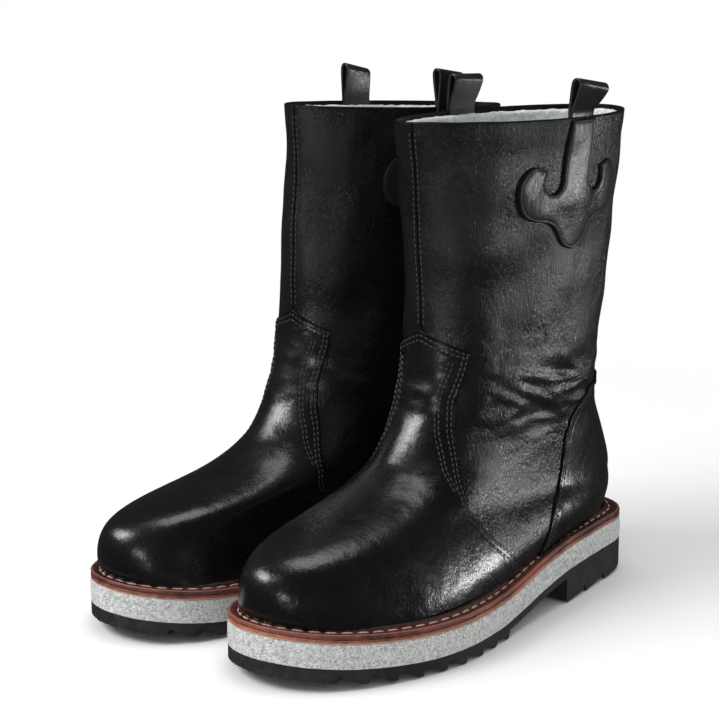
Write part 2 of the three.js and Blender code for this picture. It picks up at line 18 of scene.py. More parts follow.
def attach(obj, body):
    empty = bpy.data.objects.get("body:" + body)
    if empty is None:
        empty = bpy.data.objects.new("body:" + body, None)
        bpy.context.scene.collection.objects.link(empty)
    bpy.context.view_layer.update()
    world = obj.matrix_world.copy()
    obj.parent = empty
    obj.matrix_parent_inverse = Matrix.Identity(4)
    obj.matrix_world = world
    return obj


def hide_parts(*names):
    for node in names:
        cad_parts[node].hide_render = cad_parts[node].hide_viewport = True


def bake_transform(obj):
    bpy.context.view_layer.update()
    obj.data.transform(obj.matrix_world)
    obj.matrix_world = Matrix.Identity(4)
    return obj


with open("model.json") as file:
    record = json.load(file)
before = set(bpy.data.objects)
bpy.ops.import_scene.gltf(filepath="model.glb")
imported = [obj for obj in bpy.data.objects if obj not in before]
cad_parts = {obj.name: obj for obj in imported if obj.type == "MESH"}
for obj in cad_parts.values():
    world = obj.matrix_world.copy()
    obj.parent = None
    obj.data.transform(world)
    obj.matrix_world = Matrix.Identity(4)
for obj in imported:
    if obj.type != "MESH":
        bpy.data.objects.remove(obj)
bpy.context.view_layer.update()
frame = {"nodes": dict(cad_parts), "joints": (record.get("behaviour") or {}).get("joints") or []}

MM = 0.001

# ---------------- driving sizes, millimetres

SOLE_LENGTH = 300
FOREFOOT_GROUND = 7.3
HEEL_GROUND = 19.2
TOE_SPRING = 7.1
SPRING_START = 0.28
WAIST_START, WAIST_END = 0.42, 0.75
OUTSOLE_WEB = 3.8
HEEL_BREAST = 58
HEEL_GROOVES = (81, 106.5)
MIDSOLE_THICK = 13.3
SLIP_SOLE_THICK = 2.2
WELT_THICK = 2.8
THREAD_INSET = 5.4
COLLAR_HEIGHT = 274

VAMP_LIFT = 0.6  # outer face of the pieces that lap over the quarters, from the upper's mean face
QUARTER_LIFT = -0.6
STRAP_LIFT = 1.3
STRAP_ROW = 1.5
LEATHER_THICK = 1.1
LINING_OUTER = -3.3
FLEECE_FACE = -6.9
FOOT_FLEECE_FACE = -9.6
STRAP_CENTRE = 70
STRAP_HALF = 11.3
STRAP_LEAN = 0.13
STRAP_EDGE = 0.6
STRAP_GROOVE, GROOVE_HALF = 0.34, 0.35
LOOP_RISE = 20.5
LOOP_PIVOT = 3
LOOP_Y = 75.5
LOOP_INSET = 2.75  # from the upper's mean face in to the loop's middle
ANKLE_LOCAL = (-1.82, 56.3)  # the ankle joint's place in the boot's own frame
ANKLE_BLEND, LOOP_BLEND = 0.034, 0.005  # metres each side of a joint, given to bend() as its reach
EDGE_RADIUS = 0.7
CHANNEL_DEPTH, CHANNEL_HALF = 0.22, 0.5  # where stitching pulls the leather down
LINING_BOTTOM, LINING_TOP = 0.055, 0.993  # slices
TREAD_PITCH, TREAD_LUG_WIDTH = 15, 24
TREAD_FRONT, TREAD_REAR = -129.5, -9.5
TREAD_MEDIAL_SHIFT = 5.2
TREAD_END_GAP, TREAD_SPACING = 0.05, 0.75

# The right boot's own shape: what changes, by how much, and where the change sets in and ends.
STRAIGHT_START, STRAIGHT_BACK, STRAIGHT_FADE = 150, 13.6, 0.087
COLLAR_LIFT, COLLAR_LIFT_FADE = 4.5, 0.037
INSTEP_DROP, INSTEP_MIDDLE, INSTEP_REACH = 3, -60, 45
INSTEP_HEIGHTS = (50, 85, 110, 150)
MEDIAL_PRESS, PRESS_START, PRESS_FULL, PRESS_REACH = 6, 115, 172, 30

# Relief of the upper: height in millimetres, size of a wave along x, y and z.
WIDE_DENT, WIDE_DENT_SIZE = 2.0, (48, 48, 44)
SMALL_DENT, SMALL_DENT_SIZE = 1.3, (24, 24, 27)
PEBBLE, PEBBLE_SIZE = 0.07, (8, 8, 7)
FOLD, FOLD_SIZE, FOLD_TILT = 1.25, (30, 34, 9.5), 0.22
FOLD_MIDDLE, FOLD_REACH = 0.6, 0.09
FINE_FOLD, FINE_FOLD_SIZE = 0.4, (16, 16, 3.4)
INSTEP_FOLD, INSTEP_FOLD_SIZE = 0.55, (26, 12, 12)
HANG, HANG_SIZE = 0.25, (5, 5, 60)

# Sole outline: share of the length from the toe, fullness, bow of the middle line.
OUTLINE = [
    (0, 77.5, -3), (0.15, 67.5, 0.4), (0.3, 59, 6.2), (0.45, 49.5, 7.3),
    (0.6, 45.5, 5.8), (0.75, 50.5, 2), (0.9, 66, -0.5), (1, 95, -0.4),
]
# Upper: slice, front y z, rear y z, lean front rear, fullness front mid rear.
SLICES = [
    (0, -143, 31.6, 143.5, 37.5, 0, 0, 70, 40, 58),
    (0.09, -147, 40, 149, 51, 0, 1, 64, 41, 58.5),
    (0.2, -144, 57.5, 151, 60.5, -1.5, 0, 53, 38.6, 56.5),
    (0.33, -108, 69.6, 150, 70.5, -4.5, 0, 47, 37, 53),
    (0.46, -45, 89, 137, 98.5, -3.5, 0, 41, 36.5, 45.5),
    (0.6, -20, 129, 131, 116, -2.5, -1, 40.5, 37, 43.5),
    (0.73, -14, 160, 137, 150, -3.5, -1, 41.5, 38.5, 45),
    (0.86, -16, 222, 151, 210, -5, -2, 41, 42, 44.5),
    (1, -24, COLLAR_HEIGHT, 164.5, COLLAR_HEIGHT, -3, -2.5, 44, 44, 43.5),
]
SOLE_FADE = 0.38
BOW_FADE = 0.5
# Seam lines: slice, degrees round the slice from the front.
VAMP_EDGE = [(0, 95), (0.11, 91), (0.19, 85.5), (0.27, 79.5), (0.37, 66), (0.46, 46.5),
             (0.53, 34), (0.58, 30.5), (0.65, 34), (0.705, 36)]
COUNTER_EDGE = [(0, 103), (0.12, 107.5), (0.23, 111), (0.36, 109), (0.45, 106.5),
                (0.5, 109.5), (0.54, 115), (0.59, 125), (0.63, 141)]
TONGUE_PEAK, TONGUE_CORNER = 0.737, 0.705
COUNTER_PEAK, COUNTER_CORNER = 0.65, 0.63
# Distances of the stitch rows from their seams.
VAMP_ROWS = (1.7, 4.1)
COUNTER_ROWS = (2.0, 4.4)
SHAFT_SEAM_ROW = 1.8
# Seams of the shaft: place, degrees from the front, slice where the seam starts.
SHAFT_SEAMS = (("front", 0, TONGUE_PEAK), ("back", 180, COUNTER_PEAK))
STITCH_START, STITCH_END = 0.012, 0.985  # slices
# Stitches: length, gap, radius of the thread, how far its middle is sunk.
FINE_STITCH = (2.4, 0.7, 0.4, 0.06)
STRAP_STITCH = (2.0, 0.6, 0.3, 0.02)
WELT_STITCH = (6.6, 1.8, 0.62, 0.1)
# Top of the welt behind its rounded edge: inset from the outline, height from the welt's face.
WELT_GROOVE = [(2.6, -0.25), (4.2, -0.1), (4.6, -0.55), (5.4, -0.75), (6.1, -0.4)]
WELT_BEAD = [(6.4, 0.5), (6.9, 1.3), (7.6, 1.8), (8.6, 1.7), (10, 0), (19, 0)]
SIDES = ((1, "lateral"), (-1, "medial"))

# ---------------- curves


def natural_spline(rows):
    """A natural cubic spline through rows of (x, a, b, ...); gives an array with a last axis a, b, ..."""
    rows = np.array(rows, float)
    xs, ys = rows[:, 0], rows[:, 1:]
    count, width = len(xs), np.diff(xs)
    system = np.eye(count)
    change = np.zeros_like(ys)
    for i in range(1, count - 1):
        system[i, i - 1:i + 2] = width[i - 1], 2 * (width[i - 1] + width[i]), width[i]
        change[i] = 6 * ((ys[i + 1] - ys[i]) / width[i] - (ys[i] - ys[i - 1]) / width[i - 1])
    bend = np.linalg.solve(system, change)

    def read(x):
        x = np.asarray(x, float)
        i = np.clip(np.searchsorted(xs, x, side="right") - 1, 0, count - 2)
        before, after, step = (v[..., None] for v in (xs[i + 1] - x, x - xs[i], width[i]))
        cubic = (bend[i] * before ** 3 + bend[i + 1] * after ** 3) / (6 * step)
        left = (ys[i] / step - bend[i] * step / 6) * before
        return cubic + left + (ys[i + 1] / step - bend[i + 1] * step / 6) * after

    return read


def table_reader(pairs, blur=0.02):
    """Reading of (x, y) pairs as a line with its corners eased over a width of blur."""
    xs, ys = np.array(pairs, float).T
    fine = np.linspace(xs[0], xs[-1], 600)
    values = np.interp(fine, xs, ys)
    reach = max(1, int(blur / (fine[1] - fine[0])))
    kernel = np.hanning(2 * reach + 3)
    ahead = 2 * values[-1] - values[-2:-reach - 3:-1]
    behind = 2 * values[0] - values[reach + 1:0:-1]
    eased = np.convolve(np.concatenate([behind, values, ahead]), kernel / kernel.sum(), "valid")
    return lambda x: np.interp(x, fine, eased)


def smoothstep(x, low, high):
    t = np.clip((np.asarray(x, float) - low) / (high - low), 0, 1)
    return t * t * (3 - 2 * t)


def bell(x, middle, width):
    return np.exp(-((np.asarray(x, float) - middle) / width) ** 2)


def unit(vectors):
    return vectors / np.linalg.norm(vectors, axis=-1, keepdims=True)


outline_at = natural_spline(OUTLINE)
slice_at = natural_spline(SLICES)
vamp_edge = table_reader(VAMP_EDGE)
counter_edge = table_reader(COUNTER_EDGE)


def share_at(y):
    return np.clip(y / SOLE_LENGTH + 0.5, 0, 1)


def toe_lift(y):
    """How far the toe spring lifts the sole at y."""
    return TOE_SPRING * np.clip(1 - share_at(y) / SPRING_START, 0, 1) ** 2


def midsole_under(y):
    climb = smoothstep(share_at(y), WAIST_START, WAIST_END)
    return FOREFOOT_GROUND + (HEEL_GROUND - FOREFOOT_GROUND) * climb + toe_lift(y)


def feather_height(y):
    return midsole_under(y) + MIDSOLE_THICK + SLIP_SOLE_THICK + WELT_THICK


def sole_point(angle, inset):
    """Plan position on the sole's outline, moved in by inset."""
    y = -np.cos(angle) * (SOLE_LENGTH / 2 - inset)
    fullness, bow = np.moveaxis(outline_at(share_at(y)), -1, 0)
    return bow + np.sin(angle) * (fullness - inset), y


def upper_point(angle, slice_):
    """Points of the upper's mean face."""
    angle, slice_ = np.broadcast_arrays(np.asarray(angle, float), np.asarray(slice_, float))
    row = np.moveaxis(slice_at(slice_), -1, 0)
    y_front, z_front, y_rear, z_rear, lean_front, lean_rear, full_front, full_mid, full_rear = row
    share = (1 - np.cos(angle)) / 2
    y = y_front + (y_rear - y_front) * share
    bend = 6 * (full_front - 2 * full_mid + full_rear)
    near = np.minimum(share, 1 - share)
    end = np.where(share < 0.5, full_front, full_rear)
    fullness = bend * near ** 3 / 3 + end * (1 - 2 * near) + (2 * full_mid - bend / 12) * near
    bow = outline_at(share_at(y))[..., 1] * np.clip(1 - slice_ / BOW_FADE, 0, 1)
    follow = 1 - smoothstep(slice_, 0, SOLE_FADE)
    front = z_front - follow * feather_height(y_front)
    rear = z_rear - follow * feather_height(y_rear)
    x = bow + lean_front + (lean_rear - lean_front) * share + np.sin(angle) * fullness
    z = front + (rear - front) * share + follow * feather_height(y)
    return np.stack([x, y, z], -1)


def settled(points):
    """The right boot's own shape: straighter shaft pressed in medially, raised collar, flatter instep."""
    x, y, z = np.moveaxis(points, -1, 0)
    share = np.clip((z - STRAIGHT_START) / (COLLAR_HEIGHT - STRAIGHT_START), 0, 1) ** 2
    behind = y - SLICES[-1][1]
    low, full, easing, clear = INSTEP_HEIGHTS
    drop = INSTEP_DROP * bell(y, INSTEP_MIDDLE, INSTEP_REACH) * smoothstep(z, low, full)
    drop = drop * (1 - smoothstep(z, easing, clear))
    press = MEDIAL_PRESS * smoothstep(z, PRESS_START, PRESS_FULL) * smoothstep(-x, 0, PRESS_REACH)
    back = share * (STRAIGHT_BACK - STRAIGHT_FADE * behind)
    lift = share * (COLLAR_LIFT - COLLAR_LIFT_FADE * behind)
    return points + np.stack([press, back, lift - drop], -1)


# ---------------- relief of the leather

# Large odd factors that scatter a lattice cell's numbers, and masks of 32 and 16 bits.
HASH_AXES, HASH_SEED, HASH_MIX = (374761393, 668265263, 2147483647), 1013904223, 1274126177
WORD, HALF_WORD = 0xFFFFFFFF, 0xFFFF


def lattice_noise(points, seed):
    """Smooth gradient noise of about -1 to 1 at an array of 3-D points."""
    cell = np.floor(points).astype(np.int64)
    local = points - cell
    weight = local ** 3 * (local * (local * 6 - 15) + 10)
    total = np.zeros(points.shape[:-1])
    for corner in product((0, 1), repeat=3):
        spot = cell + np.array(corner)
        code = ((spot * HASH_AXES).sum(-1) + seed * HASH_SEED) & WORD
        code = ((code ^ (code >> 13)) * HASH_MIX) & WORD
        code ^= code >> 16
        turn = (code & HALF_WORD) * (2 * math.pi / HALF_WORD)
        rise = ((code >> 16) & HALF_WORD) * (2.0 / HALF_WORD) - 1
        flat = np.sqrt(1 - rise * rise)
        offset = local - np.array(corner)
        dot = offset[..., 0] * flat * np.cos(turn) + offset[..., 1] * flat * np.sin(turn)
        dot += offset[..., 2] * rise
        share = np.where(np.array(corner) == 1, weight, 1 - weight).prod(-1)
        total += share * dot
    return total * 1.6


def relief(points, angle, slice_, seed):
    """Soft dents of the shaft and folds over the ankle, in millimetres along the normal."""
    shaft = smoothstep(slice_, 0.42, 0.62)
    soft = WIDE_DENT * shaft * lattice_noise(points / WIDE_DENT_SIZE, seed)
    soft += SMALL_DENT * shaft * lattice_noise(points / SMALL_DENT_SIZE, seed + 1)
    soft += PEBBLE * (0.25 + shaft) * lattice_noise(points / PEBBLE_SIZE, seed + 5)
    ankle = bell(slice_, FOLD_MIDDLE, FOLD_REACH) * (0.35 + 0.65 * np.sin(angle) ** 2)
    tilt = points + FOLD_TILT * points[..., 1:2] * (0, 0, 1)
    fold = lattice_noise(tilt / FOLD_SIZE, seed + 2)
    fold = (1 - np.abs(fold) * 2.2) * FOLD * ankle
    fold += FINE_FOLD * ankle * lattice_noise(tilt / FINE_FOLD_SIZE, seed + 6)
    instep = bell(slice_, 0.47, 0.06) * (0.5 + 0.5 * np.cos(angle))
    fold += INSTEP_FOLD * instep * lattice_noise(points / INSTEP_FOLD_SIZE, seed + 3)
    hang = HANG * smoothstep(slice_, 0.75, 1) * lattice_noise(points / HANG_SIZE, seed + 4)
    return soft + fold + hang


def surface_normal(angle, slice_):
    turn, climb = 0.01, 0.003
    low, high = np.clip(slice_ - climb, 0, 1), np.clip(slice_ + climb, 0, 1)
    round_ = upper_point(angle + turn, slice_) - upper_point(angle - turn, slice_)
    rise = upper_point(angle, high) - upper_point(angle, low)
    return unit(np.cross(round_, rise))


def skin(boot, angle, slice_, offset):
    """Points of the upper moved out by offset, with the leather's relief."""
    points = upper_point(angle, slice_)
    height = offset + relief(points, angle, slice_, boot["seed"])
    return points + surface_normal(angle, slice_) * height[..., None]


def wall_place(y, z, side):
    """Angle and slice of the shaft's wall at heights z and depths y, on the side +1 or -1."""
    low, high = np.full(np.shape(y), 0.5), np.full(np.shape(y), 1.2)
    for _ in range(26):
        middle = (low + high) / 2
        y_front, z_front, y_rear, z_rear = np.moveaxis(slice_at(middle), -1, 0)[:4]
        share = np.clip((y - y_front) / (y_rear - y_front), 0, 1)
        below = z_front + (z_rear - z_front) * share < z
        low, high = np.where(below, middle, low), np.where(below, high, middle)
    return side * np.arccos(1 - 2 * share), np.minimum(low, 1)


# ---------------- boots and objects


def joint_named(name):
    return next(joint for joint in frame["joints"] if joint["name"] == name)


def boot_frame(name, hand, seed, loops):
    """A boot's own frame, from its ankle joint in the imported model.

    Loops give each pull loop's lean away from the leg, its twist and the droop of its rear edge.
    """
    joint = joint_named(f"{name}_ankle_flex")
    along, across = joint["axis"][:2]
    turn = np.array([[along, -across], [across, along]])
    local = np.array([hand * ANKLE_LOCAL[0], ANKLE_LOCAL[1]]) * MM
    return {
        "name": name, "hand": hand, "turn": turn, "seed": seed, "loops": loops,
        "origin": np.array(joint["pos_m"][:2]) - turn @ local,
    }


def to_row(boot, points):
    """Boot millimetres to row-frame metres."""
    points = np.asarray(points, float)
    plan = points[..., :2] * (boot["hand"] * MM, MM)
    plan = plan @ boot["turn"].T + boot["origin"]
    return np.concatenate([plan, points[..., 2:] * MM], -1)


def piece(boot, name, points, faces, finish, smooth=True, marks=None):
    """A mesh object from boot-frame points; the mirrored boot's faces are turned over.

    Marks are named numbers at the points, in millimetres, that the piece's material reads.
    """
    faces = [list(map(int, face)) for face in faces]
    if boot["hand"] < 0:
        points = settled(points)
        faces = [face[::-1] for face in faces]
    mesh = bpy.data.meshes.new(f"{boot['name']}_{name}")
    mesh.from_pydata(to_row(boot, points).tolist(), [], faces)
    mesh.validate()
    if smooth:
        mesh.polygons.foreach_set("use_smooth", [True] * len(mesh.polygons))
    mesh.materials.append(MATERIALS[finish])
    for mark, values in (marks or {}).items():
        mesh.attributes.new(mark, "FLOAT", "POINT").data.foreach_set("value", values)
    mesh.update()
    obj = bpy.data.objects.new(mesh.name, mesh)
    bpy.context.scene.collection.objects.link(obj)
    return obj


def stand_for(boot, obj, *nodes):
    """The piece takes the place of some of the boot's CAD nodes."""
    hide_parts(*(f"{boot['name']}_{node}" for node in nodes))


def ride(boot, obj, body):
    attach(obj, f"{boot['name']}_{body}")


def bend(boot, obj, low_body, high_body, joint, reach):
    """Bakes the piece's placement into its mesh points; the piece is not bent from one body to the other."""
    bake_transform(obj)


def bend_over_ankle(boot, obj):
    bend(boot, obj, "foot", "shaft", "ankle_flex", ANKLE_BLEND)


def grid_quads(rows, columns, wrap=False, first=0):
    """Quads of a grid whose points are numbered row by row."""
    last = columns if wrap else columns - 1
    i, j = np.meshgrid(np.arange(rows - 1), np.arange(last), indexing="ij")
    here, right = i * columns + j, i * columns + (j + 1) % columns
    quads = np.stack([here, right, right + columns, here + columns], -1).reshape(-1, 4)
    return quads + first


def sheet(outer, inner, wrap=False):
    """A closed skin: outer and inner grids joined round their rims."""
    rows, columns = outer.shape[:2]
    size = rows * columns
    faces = [grid_quads(rows, columns, wrap), grid_quads(rows, columns, wrap, size)[:, ::-1]]
    border = [np.arange(columns), (rows - 1) * columns + np.arange(columns)[::-1]]
    if wrap:
        border = [np.append(border[0], border[0][0]), np.append(border[1], border[1][0])]
    else:
        border += [np.arange(rows)[::-1] * columns, np.arange(rows) * columns + columns - 1]
    for edge in border:
        faces.append(np.stack([edge[1:], edge[:-1], edge[:-1] + size, edge[1:] + size], -1))
    points = np.concatenate([outer.reshape(-1, 3), inner.reshape(-1, 3)])
    return points, np.concatenate(faces)


def outward(points, faces):
    """The faces of a closed body, turned over if they point inwards."""
    faces = [tuple(face) for face in faces]
    volume = 0.0
    for face in faces:
        a, b, c = (points[face[k]] for k in (0, 1, 2))
        volume += np.dot(a, np.cross(b, c))
        if len(face) == 4:
            volume += np.dot(a, np.cross(c, points[face[3]]))
    return faces if volume > 0 else [face[::-1] for face in faces]


def distance_to(points, lines):
    """Distance from each point, in two or three dimensions, to the nearest of some polylines."""
    flat = points.reshape(-1, points.shape[-1])
    best = np.full(len(flat), np.inf)
    spare = (0,) * (3 - points.shape[-1])
    for line in lines:
        tree = KDTree(len(line))
        for i, spot in enumerate(line):
            tree.insert((*spot, *spare), i)
        tree.balance()
        nearest = np.array([tree.find((*spot, *spare))[1] for spot in flat])
        for step in (-1, 0):
            start = np.clip(nearest + step, 0, len(line) - 2)
            along = line[start + 1] - line[start]
            away = flat - line[start]
            share = np.clip((away * along).sum(1) / (along * along).sum(1), 0, 1)
            best = np.minimum(best, np.linalg.norm(away - share[:, None] * along, axis=1))
    return best.reshape(points.shape[:-1])


def dense(path, step):
    """A polyline sampled every step."""
    lengths = np.linalg.norm(np.diff(path, axis=0), axis=1)
    total = np.concatenate([[0], np.cumsum(lengths)])
    spots = np.linspace(0, total[-1], max(2, int(total[-1] / step)))
    return np.stack([np.interp(spots, total, path[:, k]) for k in range(path.shape[1])], -1)


def rounded(distance, radius):
    """Drop of a rounded edge at a distance from the border."""
    inside = radius - np.clip(distance, 0, radius)
    return radius - np.sqrt(np.clip(radius ** 2 - inside ** 2, 0, None))


def shares(count, length):
    """Shares from 0 to 1 of a length in millimetres, with extra ones close to both ends."""
    close = np.array([0, 0.06, 0.25, 0.6, 1.1, 1.7, 2.3, 2.9, 3.4, 3.9, 4.4, 5]) / length
    middle = np.linspace(6.5 / length, 1 - 6.5 / length, count)
    return np.concatenate([close, middle, 1 - close[::-1]])


# ---------------- materials


def connect(tree, source, target):
    """Links a socket to the target, or sets the target's own value."""
    if hasattr(source, "is_output"):
        tree.links.new(source, target)
    else:
        target.default_value = source


class Nodes:
    """A short way to write node trees."""

    def __init__(self, name):
        self.material = bpy.data.materials.new(name)
        self.material.use_nodes = True
        self.tree = self.material.node_tree
        self.shader = self.tree.nodes["Principled BSDF"]
        self.place = self.add("ShaderNodeTexCoord").outputs["Object"]

    def add(self, kind, inputs=None, **settings):
        """A node with its settings, and its inputs linked or set."""
        node = self.tree.nodes.new(kind)
        for key, value in settings.items():
            setattr(node, key, value)
        for key, value in (inputs or {}).items():
            connect(self.tree, value, node.inputs[key])
        return node

    def set(self, **values):
        for key, value in values.items():
            connect(self.tree, value, self.shader.inputs[key.replace("_", " ")])

    def mark(self, name):
        """A number that the piece carries at its points."""
        return self.add("ShaderNodeAttribute", attribute_name=name).outputs["Fac"]

    def stretched(self, *scale):
        """The place, scaled along x, y and z."""
        return self.add("ShaderNodeMapping", {"Vector": self.place, "Scale": scale}).outputs["Vector"]

    def noise(self, scale, detail, rough=0.5, vector=None):
        inputs = {"Scale": scale, "Detail": detail, "Roughness": rough}
        inputs["Vector"] = self.place if vector is None else vector
        return self.add("ShaderNodeTexNoise", inputs).outputs["Fac"]

    def cracks(self, scale, vector):
        """Distance from the borders of a net of cells."""
        inputs = {"Scale": scale, "Vector": vector}
        return self.add("ShaderNodeTexVoronoi", inputs, feature="DISTANCE_TO_EDGE").outputs["Distance"]

    def plus(self, a, b):
        return self.add("ShaderNodeMath", {0: a, 1: b}, operation="ADD").outputs[0]

    def times(self, a, b):
        return self.add("ShaderNodeMath", {0: a, 1: b}, operation="MULTIPLY").outputs[0]

    def ramp(self, value, low, high, out_low=0.0, out_high=1.0):
        inputs = dict(enumerate((value, low, high, out_low, out_high)))
        return self.add("ShaderNodeMapRange", inputs, clamp=True).outputs[0]

    def mix(self, factor, a, b):
        a, b = (color if hasattr(color, "is_output") else (*color, 1) for color in (a, b))
        inputs = {"Factor": factor, "A": a, "B": b}
        return self.add("ShaderNodeMix", inputs, data_type="RGBA").outputs["Result"]

    def bump(self, height, depth, strength, below=None):
        inputs = {"Strength": strength, "Distance": depth, "Height": height}
        if below is not None:
            inputs["Normal"] = below
        return self.add("ShaderNodeBump", inputs).outputs["Normal"]


def black_leather(name, base, rough, grain, streaks):
    """Glossy leather: pebbled grain, vertical streaks that grow towards the collar, dull cut edges."""
    n = Nodes(name)
    cloud = n.noise(30, 4, 0.6)
    fine = n.noise(650, 4, 0.65)
    crease = n.cracks(420, n.stretched(1, 1, 0.75))
    streak = n.noise(1, 5, 0.7, n.stretched(1100, 1100, 150))
    height = n.add("ShaderNodeSeparateXYZ", {0: n.place}).outputs["Z"]
    near_collar = n.ramp(height, 0.13, 0.25, 0.25, 1.0)
    n.set(Base_Color=n.mix(n.ramp(cloud, 0.4, 0.75), base, tuple(1.8 * c for c in base)))
    gloss = n.plus(n.ramp(cloud, 0.3, 0.7, -0.06, 0.07), n.ramp(fine, 0.35, 0.65, -0.05, 0.06))
    n.set(Roughness=n.plus(gloss, rough))
    cut = n.mark("from_edge")
    n.set(Specular_IOR_Level=n.ramp(cut, 0.3, 2.0, 0.12, 0.55))
    n.set(Coat_Weight=n.ramp(cut, 0.3, 2.0, 0.0, 0.35), Coat_Roughness=0.16)
    normal = n.bump(n.noise(60, 3), 0.0016, 0.5)
    normal = n.bump(n.times(streak, near_collar), 0.0011, streaks, normal)
    normal = n.bump(n.ramp(crease, 0.0, 0.12), 0.00012, grain, normal)
    normal = n.bump(fine, 0.00045, grain, normal)
    n.set(Normal=normal, Coat_Normal=normal)
    return n.material


def fleece():
    """Off-white pile with a cool tint."""
    n = Nodes("fleece")
    pile = n.noise(260, 6, 0.7)
    tuft = n.noise(90, 4, 0.6)
    n.set(Base_Color=n.mix(n.ramp(pile, 0.3, 0.7), (0.40, 0.44, 0.43), (0.74, 0.77, 0.75)))
    n.set(Roughness=1.0, Specular_IOR_Level=0.1, Sheen_Weight=0.4, Sheen_Roughness=0.6)
    normal = n.bump(tuft, 0.003, 0.5)
    n.set(Normal=n.bump(pile, 0.0016, 0.8, normal))
    return n.material


def tanned(n, dark, pale):
    """Vegetable-tanned leather: colour with darker blotches and fibre lines, and its relief."""
    cloud = n.noise(17, 7, 0.7)
    fibre = n.noise(1, 5, 0.6, n.stretched(300, 300, 500))
    blend = n.plus(n.times(cloud, 0.7), n.times(fibre, 0.3))
    n.set(Roughness=n.ramp(cloud, 0.3, 0.7, 0.42, 0.62), Coat_Weight=0.15, Coat_Roughness=0.3)
    n.set(Normal=n.bump(fibre, 0.0008, 0.5, n.bump(n.noise(500, 3), 0.0004, 0.4)))
    return n.mix(n.ramp(blend, 0.42, 0.60), dark, pale), n.times(blend, 1.2)


def welt_leather():
    """Red-brown side with a painted pale highlight along its rounded edges, and a dark waxed top."""
    n = Nodes("welt_leather")
    side, ragged = tanned(n, (0.035, 0.010, 0.009), (0.21, 0.058, 0.038))
    inset = n.mark("inset")
    # Painted highlight: a pale band over the welt's rounded edges, where the light catches them.
    edge_highlight = n.times(n.ramp(inset, 0.25, 0.6), n.ramp(inset, 0.9, 1.5, 1.0, 0.0))
    top = n.mix(n.ramp(ragged, 0.5, 0.7), (0.022, 0.008, 0.007), (0.11, 0.028, 0.018))
    color = n.mix(n.ramp(inset, 0.9, 1.7), side, top)
    # The pale colour mixed in here is the painted highlight on the rounded edges.
    color = n.mix(n.times(edge_highlight, 0.55), color, (0.44, 0.16, 0.11))
    n.set(Base_Color=n.mix(n.ramp(inset, 5.6, 8.0), color, (0.010, 0.003, 0.002)))
    return n.material


def slip_leather():
    """Blotched red-brown edge with a thin bare tan line along its foot."""
    n = Nodes("slip_sole_leather")
    side, ragged = tanned(n, (0.085, 0.024, 0.015), (0.37, 0.120, 0.068))
    level = n.plus(n.mark("level"), n.times(ragged, -0.9))
    n.set(Base_Color=n.mix(n.ramp(level, -0.25, 0.35), (0.52, 0.30, 0.19), side))
    return n.material


def speckled_midsole():
    """Light grey crepe with fine darker and paler flecks."""
    n = Nodes("speckled_midsole")
    fleck = n.noise(1150, 3, 0.7)
    coarse = n.noise(420, 4, 0.7)
    mixed = n.plus(n.times(fleck, 0.6), n.times(coarse, 0.4))
    body = n.mix(n.ramp(mixed, 0.40, 0.58), (0.19, 0.20, 0.195), (0.64, 0.655, 0.645))
    body = n.mix(n.ramp(n.noise(60, 4, 0.6), 0.35, 0.75, 0.0, 0.3), body, (0.54, 0.54, 0.52))
    n.set(Base_Color=body, Roughness=0.95, Specular_IOR_Level=0.2)
    n.set(Normal=n.bump(mixed, 0.0011, 0.8))
    return n.material


def black_rubber():
    n = Nodes("black_rubber")
    dust = n.noise(120, 5, 0.7)
    n.set(Base_Color=n.mix(n.ramp(dust, 0.4, 0.75), (0.012, 0.012, 0.013), (0.03, 0.03, 0.031)))
    n.set(Roughness=n.ramp(dust, 0.3, 0.7, 0.5, 0.72))
    n.set(Normal=n.bump(n.noise(800, 3), 0.0004, 0.6, n.bump(dust, 0.001, 0.2)))
    return n.material


def twisted_thread(name, dark, pale, rough):
    """Thread with the slant lines of its twist."""
    n = Nodes(name)
    ply = n.noise(1, 2, 0.5, n.stretched(1400, 1400, 1400))
    n.set(Base_Color=n.mix(n.ramp(ply, 0.35, 0.65), dark, pale), Roughness=rough)
    n.set(Normal=n.bump(ply, 0.0005, 0.6))
    return n.material


def hidden_stock(name, dark, pale, rough, metal=0.0):
    """Steel, board and cork of the hidden pieces."""
    n = Nodes(name)
    spot = n.noise(240, 5, 0.7)
    n.set(Base_Color=n.mix(n.ramp(spot, 0.35, 0.65), dark, pale), Roughness=rough, Metallic=metal)
    n.set(Normal=n.bump(spot, 0.0005, 0.5))
    return n.material


MATERIALS = {
    "leather": black_leather("shaft_leather", (0.0040, 0.0042, 0.0052), 0.29, 0.45, 0.42),
    "smooth": black_leather("vamp_leather", (0.0034, 0.0034, 0.0042), 0.28, 0.16, 0.05),
    "strap": black_leather("strap_leather", (0.0110, 0.0108, 0.0120), 0.33, 0.3, 0.10),
    "fleece": fleece(),
    "welt": welt_leather(),
    "slip": slip_leather(),
    "midsole": speckled_midsole(),
    "rubber": black_rubber(),
    "thread": twisted_thread("black_thread", (0.022, 0.022, 0.023), (0.055, 0.055, 0.057), 0.6),
    "welt_thread": twisted_thread("welt_thread", (0.28, 0.13, 0.10), (0.64, 0.43, 0.37), 0.75),
    "steel": hidden_stock("steel", (0.35, 0.36, 0.38), (0.6, 0.61, 0.63), 0.35, 1.0),
    "board": hidden_stock("board", (0.26, 0.17, 0.1), (0.5, 0.36, 0.24), 0.9),
    "cork": hidden_stock("cork", (0.2, 0.1, 0.04), (0.55, 0.33, 0.18), 0.95),
}

# ---------------- stitches


